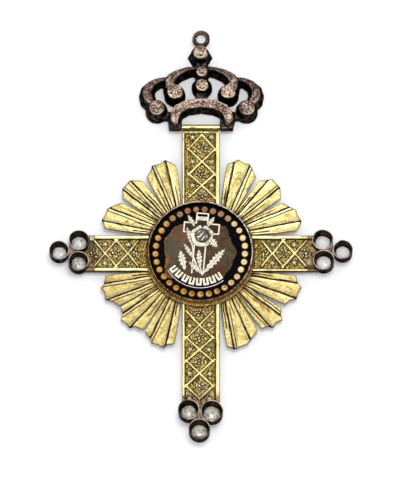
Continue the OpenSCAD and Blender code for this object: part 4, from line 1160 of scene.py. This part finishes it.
def make_emblem_steps(material):
    """Row of small U-shaped blocks along the lower edge."""
    x, y = emblem_field(-8.6, 6.6, -9.3, -2.4)
    depth = np.full_like(x, -1.0)
    rng = np.random.default_rng(91)
    for degrees, reach, lean in STEPS:
        a, turn = math.radians(degrees), math.radians(degrees + lean)
        dx, dy = x - reach * math.cos(a), y - reach * math.sin(a)
        out = dx * math.cos(turn) + dy * math.sin(turn)
        across = dy * math.cos(turn) - dx * math.sin(turn) + rng.uniform(-0.03, 0.03)
        block = np.minimum(0.94 - np.abs(out), 0.70 - np.abs(across))
        slot = np.minimum(0.17 - np.abs(across + 0.02), 0.44 - out)
        depth = np.maximum(depth, np.minimum(block, -slot))
    shape = Shape()
    add_inlay(shape, x, y, depth, 0.25)
    shape.finish("emblem_steps", material)


def make_emblem_line(material):
    """Half-round silver wire below the blocks."""
    a, t = np.meshgrid(np.radians(np.linspace(209.5, 307.8, 120)), np.linspace(0, np.pi, 7))
    r, z = 9.03 + 0.11 * np.cos(t), DISC_FACE - 0.02 + 0.15 * np.sin(t)
    shape = Shape()
    shape.add_grid(np.stack([MEDALLION[0] + r * np.cos(a), MEDALLION[1] + r * np.sin(a), z], -1), flip=True)
    shape.finish("emblem_line", material)


# Stone settings

# For each cup of a trefoil: the direction of the painted highlight on its rim, and how brightly its stone is painted as
# lit
RIM_HIGHLIGHT_SIDE = {"left": (3.6, 0.2, 0.6), "right": (3.5, 3.7, 2.9), "bottom": (0.6, 1.2, 1.2)}
STONE_LIGHT = {"left": (0.52, 0.20, 0.72), "right": (1.0, 0.84, 1.0), "bottom": (0.0, 0.06, 0.0)}
# Wall of a cup as how far it lies inside the rim's radius, and its height: up the outside, over the rim and
# down the inside to the stone's seat
CUP_WALL = [
    (0.3, ARM_BACK), (0.16, ARM_BACK + 0.08), (0.1, ARM_BACK + 0.3), (0.07, 2.4), (0.05, 3.2), (0.03, 4.0),
    (0.01, 4.6), (0, 4.82), (0.03, 4.93), (0.09, 4.99), (0.15, 4.98), (0.21, 4.9), (0.24, 4.75), (0.27, 4.4),
    (0.34, 3.8), (0.46, 3.2), (0.60, STONE_TABLE + 0.1), (0.62, STONE_TABLE), (0.62, ARM_BACK + 0.4),
]


def make_setting(side, material):
    """Three open cups soldered together, each with a thin rim painted with a highlight on one side."""
    shape = Shape()
    cups = TREFOILS[side]
    for i, (cx, cy, r) in enumerate(cups):
        corners = [(0.01, ARM_BACK), *((r - inset, z) for inset, z in CUP_WALL), (0.01, ARM_BACK + 0.4)]
        profile = []
        for a, b in zip(corners, corners[1:]):
            n = max(1, int(math.dist(a, b) / 0.19))
            profile += [(a[0] + (b[0] - a[0]) * k / n, a[1] + (b[1] - a[1]) * k / n) for k in range(n)]
        points = turned([*profile, corners[-1]], 96, (cx, cy))
        out = points[..., :2] - [cx, cy]
        radius, angle = np.hypot(out[..., 0], out[..., 1]), np.arctan2(out[..., 1], out[..., 0])
        seed = 400 + 20 * i + len(side)
        wave = 0.08 * cloud(points, 1.5, seed) + 0.04 * cloud(points, 0.45, seed + 1)
        pull = np.where(radius > 0.5, -np.abs(wave) * fade(2.0, 4.0, points[..., 2]), 0) / np.maximum(radius, 0.5)
        points[..., :2] += out * pull[..., None]
        points[..., 2] += -0.10 * np.abs(cloud(points, 1.1, seed + 2)) * fade(4.5, 4.95, points[..., 2])
        x, y, z = np.moveaxis(points, -1, 0)
        down = np.arange(len(points))[:, None] / len(points)
        near = np.min([np.abs(np.hypot(x - ox, y - oy) - o) for ox, oy, o in cups if (ox, oy) != (cx, cy)], axis=0)
        # Painted highlight on the rim, towards its given side and where the cups meet
        worn = fade(0.35, 1.0, np.cos(angle - RIM_HIGHLIGHT_SIDE[side][i])) + fade(1.6, 0.3, near)
        worn = unit(worn * (0.8 + 0.6 * cloud(points, 0.9, seed + 3)) + 0.12)
        shape.add_grid(
            points, around=True, edge=fade(4.70, 4.88, z) * worn, inside=fade(0.60, 0.64, down) * fade(4.88, 4.6, z),
            solder=fade(0.55, 0.1, near) * fade(4.4, 4.8, z))
    add_solder(shape, np.array(cups), 480 + len(side))
    shape.finish("setting_" + side, material)


def add_solder(shape, cups, seed):
    """Solder that fills the room between the three cups, drawn up a little along their walls."""
    centres = cups[:, :2]
    x, y = np.meshgrid(*(np.arange(low, high, 0.06) for low, high in zip(centres.min(axis=0), centres.max(axis=0))))
    # Distance inside the triangle of the cups' middles
    middle, depth = centres.mean(axis=0), np.full_like(x, 9.0)
    for (ax, ay), (bx, by) in zip(centres, np.roll(centres, -1, axis=0)):
        normal = np.array([ay - by, bx - ax]) / math.hypot(bx - ax, by - ay)
        normal = normal * np.sign(np.dot(middle - [ax, ay], normal))
        depth = np.minimum(depth, (x - ax) * normal[0] + (y - ay) * normal[1])
    gap = np.min([np.hypot(x - cx, y - cy) - r for cx, cy, r in cups], axis=0)
    z = 4.12 + 0.30 * fade(0.40, 0.0, gap) + 0.07 * flat_cloud(x, y, 0.5, seed)
    z = ARM_BACK + (z - ARM_BACK) * fade(-0.06, 0.10, depth)
    keep = (depth > -0.12) & (gap > -0.15)
    keep = keep[1:, 1:] & keep[:-1, :-1]
    pale = (0.62 + 0.8 * flat_cloud(x, y, 0.6, seed + 1)) * fade(3.4, 4.1, z) + 0.25 * fade(0.30, 0.05, gap)
    shape.add_grid(np.stack([x, y, z], -1), keep=keep, solder=unit(pale))
    shape.add_grid(np.stack([x, y, np.full_like(x, ARM_BACK)], -1), keep=keep, flip=True)


# Rings of a stone's corners: share of its radius, height, unevenness, number of corners and twist
STONE_RINGS = [
    (1.0, STONE_TABLE - 0.55, 0.03, 12, 0.0), (0.84, STONE_TABLE - 0.26, 0.06, 12, 0.26),
    (0.60, STONE_TABLE - 0.10, 0.05, 8, 0.2), (0.30, STONE_TABLE - 0.02, 0.03, 6, 0.1),
    (0.62, ARM_BACK + 0.46, 0.0, 9, 0.0),
]


def make_stone(name, cx, cy, r, light, material, seed):
    """Cut paste: an uneven table, a ring of crown facets and a short facetted base."""
    rng = np.random.default_rng(seed)
    girdle_r = r - STONE_INSET
    turn = rng.uniform(0, 0.6)
    cut_form = bmesh.new()
    for share, z, uneven, count, twist in STONE_RINGS:
        for k in range(count):
            a = 2 * math.pi * k / count + turn + twist
            out = girdle_r * (min(share * rng.uniform(0.92, 1.06), 1.0) if uneven else share)
            point = [cx + out * math.cos(a), cy + out * math.sin(a) + CROSS_Y, z - rng.uniform(0, uneven * 2)]
            cut_form.verts.new(np.array(point) * MM)
    bmesh.ops.convex_hull(cut_form, input=cut_form.verts)
    bmesh.ops.triangulate(cut_form, faces=cut_form.faces)
    # Each facet keeps its own corners, so that it can be lighter or darker than the next
    bmesh.ops.split_edges(cut_form, edges=cut_form.edges)
    mesh = bpy.data.meshes.new(name)
    cut_form.to_mesh(mesh)
    cut_form.free()
    bright, cut = np.zeros((2, len(mesh.vertices)))
    for face in mesh.polygons:
        # Lit from above the cup, so the lower side of a stone is the brighter one
        low = fade(0.8, -0.8, (face.center.y / MM - CROSS_Y - cy) / girdle_r)
        tone = rng.normal(light * (0.45 + 0.5 * max(face.normal.z, 0.0) + 0.35 * low), 0.26)
        for corner in face.vertices:
            bright[corner] = unit(tone)
            # A few facets get a painted glint
            cut[corner] = 0.9 * light if rng.uniform() < 0.28 else 0.0
    add_mark(mesh, "bright", bright)
    add_mark(mesh, "cut", cut)
    place(name, mesh, "cross", material, [name])


# Crown


def relaxed(points, edges, times):
    """Points drawn halfway to the middle of their neighbours, again and again."""
    (a, b), size = edges.T, len(points)
    count = np.maximum(np.bincount(edges.ravel(), minlength=size), 1)
    out = points.copy()
    for _ in range(times):
        total = np.stack([np.bincount(a, v[b], size) + np.bincount(b, v[a], size) for v in out.T], -1)
        out += 0.5 * (total / count[:, None] - out)
    return out


def read_mesh(mesh):
    """Points in millimetres, edges and normals of a mesh."""
    points, normals = np.zeros((2, len(mesh.vertices) * 3))
    edges = np.zeros(len(mesh.edges) * 2, int)
    mesh.vertices.foreach_get("co", points)
    mesh.edges.foreach_get("vertices", edges)
    mesh.vertex_normals.foreach_get("vector", normals)
    return points.reshape(-1, 3) / MM, edges.reshape(-1, 2), normals.reshape(-1, 3)


def move_points(mesh, points):
    mesh.vertices.foreach_set("co", (points * MM).ravel())
    mesh.update()


def cast_copy(node, voxel):
    """A fine even mesh round a CAD node, as a start for a cast surface."""
    copy = bpy.data.objects.new(node + "_cast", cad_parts[node].data.copy())
    bpy.context.scene.collection.objects.link(copy)
    remesh = copy.modifiers.new("even", "REMESH")
    remesh.mode = "VOXEL"
    remesh.voxel_size = voxel * MM
    bpy.context.view_layer.update()
    mesh = bpy.data.meshes.new_from_object(copy.evaluated_get(bpy.context.evaluated_depsgraph_get()))
    bpy.data.objects.remove(copy)
    return mesh


# The crown's middle lies this far to the right, and its worn faces as far again
CROWN_X = FACES_X = 0.12

# Faces of the crown's bars: x and y of a station, half width of the face and how worn it is
CROWN_BARS = [
    [(-0.9, 46.6, 0.06, 0.0), (-3.3, 46.2, 0.20, 0.15), (-5.4, 45.4, 0.48, 0.48), (-7.05, 44.3, 0.80, 0.66),
     (-7.6, 43.0, 0.90, 0.7), (-7.3, 41.7, 1.05, 0.8), (-6.5, 40.5, 1.3, 1.0)],
    [(0.9, 46.6, 0.06, 0.0), (3.3, 46.2, 0.22, 0.15), (5.4, 45.4, 0.50, 0.38), (7.05, 44.3, 0.88, 0.6),
     (7.7, 43.0, 0.90, 0.7), (7.3, 41.7, 1.0, 0.85), (6.5, 40.5, 1.3, 1.0)],
    [(-8.2, 43.8, 0.16, 0.2), (-10.3, 43.45, 0.38, 0.38), (-11.85, 42.65, 0.58, 0.5), (-12.75, 41.4, 0.78, 0.55),
     (-13.0, 40.15, 0.86, 0.58), (-12.75, 38.9, 0.80, 0.6), (-12.0, 37.9, 0.66, 0.7), (-11.2, 36.9, 0.85, 0.9)],
    [(8.2, 43.8, 0.05, 0.1), (10.3, 43.45, 0.30, 0.28), (11.85, 42.65, 0.52, 0.4), (12.75, 41.4, 0.76, 0.5),
     (13.0, 40.15, 0.88, 0.55), (12.75, 38.9, 0.78, 0.58), (12.0, 37.9, 0.64, 0.65), (11.2, 36.9, 0.85, 0.85)],
    [(-6.2, 32.5, 0.35, 1.0), (-6.5, 33.6, 0.92, 1.0), (-6.35, 34.6, 1.05, 0.8), (-5.45, 36.0, 1.12, 0.75),
     (-3.3, 37.1, 1.1, 0.85), (0.0, 37.5, 1.05, 0.9), (3.3, 37.1, 1.1, 0.85), (5.45, 36.0, 1.1, 0.7),
     (6.35, 34.6, 1.05, 0.8), (6.5, 33.6, 0.95, 0.95), (6.2, 32.5, 0.35, 0.9)],
]

# Round faces: x, y, radius and how worn they are
CROWN_KNOBS = [
    (-6.4, 40.3, 1.72, 1.0), (-10.85, 36.2, 1.58, 0.78), (6.4, 40.3, 1.66, 0.95), (10.95, 36.2, 1.60, 0.75),
    (-0.35, 50.2, 1.55, 0.85), (0.05, 45.6, 1.20, 0.8), (0.1, 42.25, 1.42, 0.9),
]


def crown_faces(x, y):
    """Distance inside the worn faces of the crown and how worn the nearest of them is."""
    faces = []
    for bar in CROWN_BARS:
        for (ax, ay, aw, ag), (bx, by, bw, bg) in zip(bar, bar[1:]):
            distance, t = to_segment(x, y, (ax, ay), (bx, by))
            faces.append((aw + (bw - aw) * t - distance, ag + (bg - ag) * t))
    faces += [(r - np.hypot(x - cx, y - cy), wear) for cx, cy, r, wear in CROWN_KNOBS]
    depth, worn = np.full_like(x, -9.0), np.zeros_like(x)
    for inside, wear in faces:
        worn = np.where(inside > depth, wear, worn)
        depth = np.maximum(depth, inside)
    return depth, worn


def crown_wear(points, edge, facing, ragged, seed):
    """Marks of the crown: worn faces with pale lips painted as highlights, and brown feet."""
    x, y, high = points[:, 0] - CROWN_X, points[:, 1] - CROSS_Y, fade(3.3, 3.8, points[:, 2])
    depth, worn = crown_faces(x - FACES_X, y)
    flat = fade(-0.06, 0.10, depth + ragged) * fade(0.55, 0.85, facing[:, 2]) * high
    # The faces get a painted highlight along their lower edges, the base arch along its upper one, strongest where they
    # are most worn
    base = fade(38.9, 38.6, y) * fade(7.6, 7.3, np.abs(x))
    band = fade(-0.22, -0.02, depth) * fade(0.42, 0.10, depth + ragged)
    lip = unit(band * fade(0.0, 0.30, facing[:, 1] * (2 * base - 1)) * worn ** 2 * high * 1.2)
    # Thin painted highlights along the feet
    for line_y, strength in ((31.75, 0.55), (30.95, 0.45)):
        line = fade(0.16, 0.04, np.abs(y - line_y + 0.4 * ragged)) * fade(0.2, 0.6, facing[:, 2])
        lip = np.maximum(lip, strength * line * fade(-0.3, 0.3, cloud(points, 0.8, seed)))
    return {"flat": flat, "edge": edge * high, "lip": lip, "worn": worn, "foot": fade(33.2, 32.4, y)}


def eye_wear(points, low, top, edge, normals, facing, ragged):
    """Marks of the eye: a worn flat ring with a painted highlight on its inner rim and a thin painted highlight line on
    its outer one.
    """
    radius, up = (top[0] - low[0]) / 2, fade(0.3, 0.8, normals[:, 2])
    out = np.hypot(points[:, 0] - (low[0] + top[0]) / 2, points[:, 1] - top[1] + radius) / radius
    rim = 0.8 * up * fade(0.66, 0.58, out + ragged * 0.3)
    line = fade(0.1, 0.06, np.abs(out - 0.88 + 0.3 * ragged)) * fade(0.0, 0.8, facing[:, 1] - facing[:, 0] * 0.6)
    return {
        "flat": up * fade(0.97, 0.85, out + 0.3 * ragged), "edge": edge, "lip": np.maximum(rim, 0.6 * up * line),
        "worn": 0.30 * fade(0.95, 0.6, out), "foot": 0 * out,
    }


def make_cast(node, material, voxel, rounding, seed):
    """Cast surface over a CAD node: softened, lumpy and pitted, with marks for its worn faces and hollows."""
    mesh = cast_copy(node, voxel)
    points, edges, _ = read_mesh(mesh)
    low, top = points.min(axis=0), points.max(axis=0)
    move_points(mesh, relaxed(points, edges, rounding))
    points, edges, normals = read_mesh(mesh)
    bend = np.einsum("ij,ij->i", points - relaxed(points, edges, 10), normals)
    facing = relaxed(normals, edges, 3)
    ragged = 0.16 * cloud(points, 0.7, seed + 3) + 0.09 * cloud(points, 0.3, seed + 4)
    edge = fade(0.02, 0.075, bend) * fade(0.10, 0.5, normals[:, 2])
    if node == "crown":
        marks = crown_wear(points, edge, facing, ragged, seed + 5)
    else:
        marks = eye_wear(points, low, top, edge, normals, facing, ragged)
    marks["hollow"] = fade(0.015, 0.08, -bend)
    lumps = 0.05 + 0.05 * cloud(points, 1.1, seed) + 0.035 * cloud(points, 0.42, seed + 1)
    pits = 0.08 * fade(0.30, 0.8, cloud(points, 0.33, seed + 2)) * marks["flat"]
    for mark, values in marks.items():
        add_mark(mesh, mark, values)
    move_points(mesh, np.clip(points + normals * (lumps - pits)[:, None], low, top))
    mesh.shade_smooth()
    place(node + "_cast", mesh, "crown", material, [node])


# Light, floor and camera


def make_floor():
    """Wide ground just below the jewel."""
    mesh = bpy.data.meshes.new("floor")
    half, low = 1.6, -0.00005
    corners = [(-half, -half, low), (half, -half, low), (half, half, low), (-half, half, low)]
    mesh.from_pydata(corners, [], [(0, 1, 2, 3)])
    floor = bpy.data.objects.new("floor", mesh)
    bpy.context.scene.collection.objects.link(floor)
    mesh.materials.append(studio_floor())


def make_world():
    """Even white light from all sides."""
    world = bpy.data.worlds.new("studio")
    bpy.context.scene.world = world
    world.use_nodes = True
    sky = world.node_tree.nodes["Background"].inputs
    sky["Color"].default_value = (1, 1, 1, 1)
    sky["Strength"].default_value = 0.81


def softbox(name, at, aim, size, power):
    """Square lamp at a place, turned towards its aim."""
    lamp = bpy.data.lights.new(name, "AREA")
    lamp.shape = "RECTANGLE"
    lamp.size, lamp.size_y = size
    lamp.energy = power
    box = bpy.data.objects.new(name, lamp)
    bpy.context.scene.collection.objects.link(box)
    box.location = at
    box.rotation_euler = (Vector(aim) - Vector(at)).to_track_quat("-Z", "Y").to_euler()


def make_camera():
    """Very long lens, 72 degrees above the surface, as the jewel was photographed."""
    cam = bpy.data.cameras.new("camera")
    cam.lens, cam.sensor_width = 1200, 36
    cam.clip_start, cam.clip_end = 0.5, 10
    seen_height, rise = 0.1152, math.radians(72)
    aim = Vector((0.00096, -0.00124, 0.0025))
    back = Vector((0, -math.cos(rise), math.sin(rise)))
    camera = bpy.data.objects.new("camera", cam)
    bpy.context.scene.collection.objects.link(camera)
    camera.location = aim + back * (seen_height * cam.lens / cam.sensor_width)
    camera.rotation_euler = (-back).to_track_quat("-Z", "Y").to_euler()
    bpy.context.scene.camera = camera


def dress_cad(node, material):
    """Gives a CAD node that shows as it is its material."""
    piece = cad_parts[node]
    piece.data.materials.clear()
    piece.data.materials.append(material)


def main():
    gilt, rays = arm_gilt(), ray_gilt()
    for name in ARMS:
        make_arm(name, gilt)
    for name in QUADRANTS:
        make_rays(name, rays)
    make_bezel(bezel_gilt())
    make_studs(stud_gold())
    make_disc(shell())
    inlay = bone_inlay()
    make_emblem_cross(inlay)
    make_emblem_rose(inlay)
    make_emblem_leaves(inlay)
    make_emblem_steps(inlay)
    make_emblem_line(silver_wire())
    collets, paste = collet_silver(), cloudy_paste()
    ends = {"left": ("upper", "lower", "tip"), "right": ("upper", "lower", "tip"), "bottom": ("left", "right", "tip")}
    for side, names in ends.items():
        make_setting(side, collets)
        for i, (cup, end) in enumerate(zip(TREFOILS[side], names)):
            make_stone(f"stone_{side}_{end}", *cup, STONE_LIGHT[side][i], paste, 900 + 10 * i + len(side))
    silver = crown_silver()
    make_cast("crown", silver, 0.16, 4, 701)
    make_cast("hanging_eye", silver, 0.08, 3, 711)
    dress_cad("hinge_pin", silver)
    dress_cad("case_back", back_gilt())
    make_floor()
    make_world()
    softbox("key", (0.07, 0.04, 0.90), (0, 0, 0), (0.26, 0.26), 2.9)
    make_camera()
    bpy.context.scene.view_settings.view_transform = "Standard"
    bpy.context.scene.view_settings.look = "None"


main()
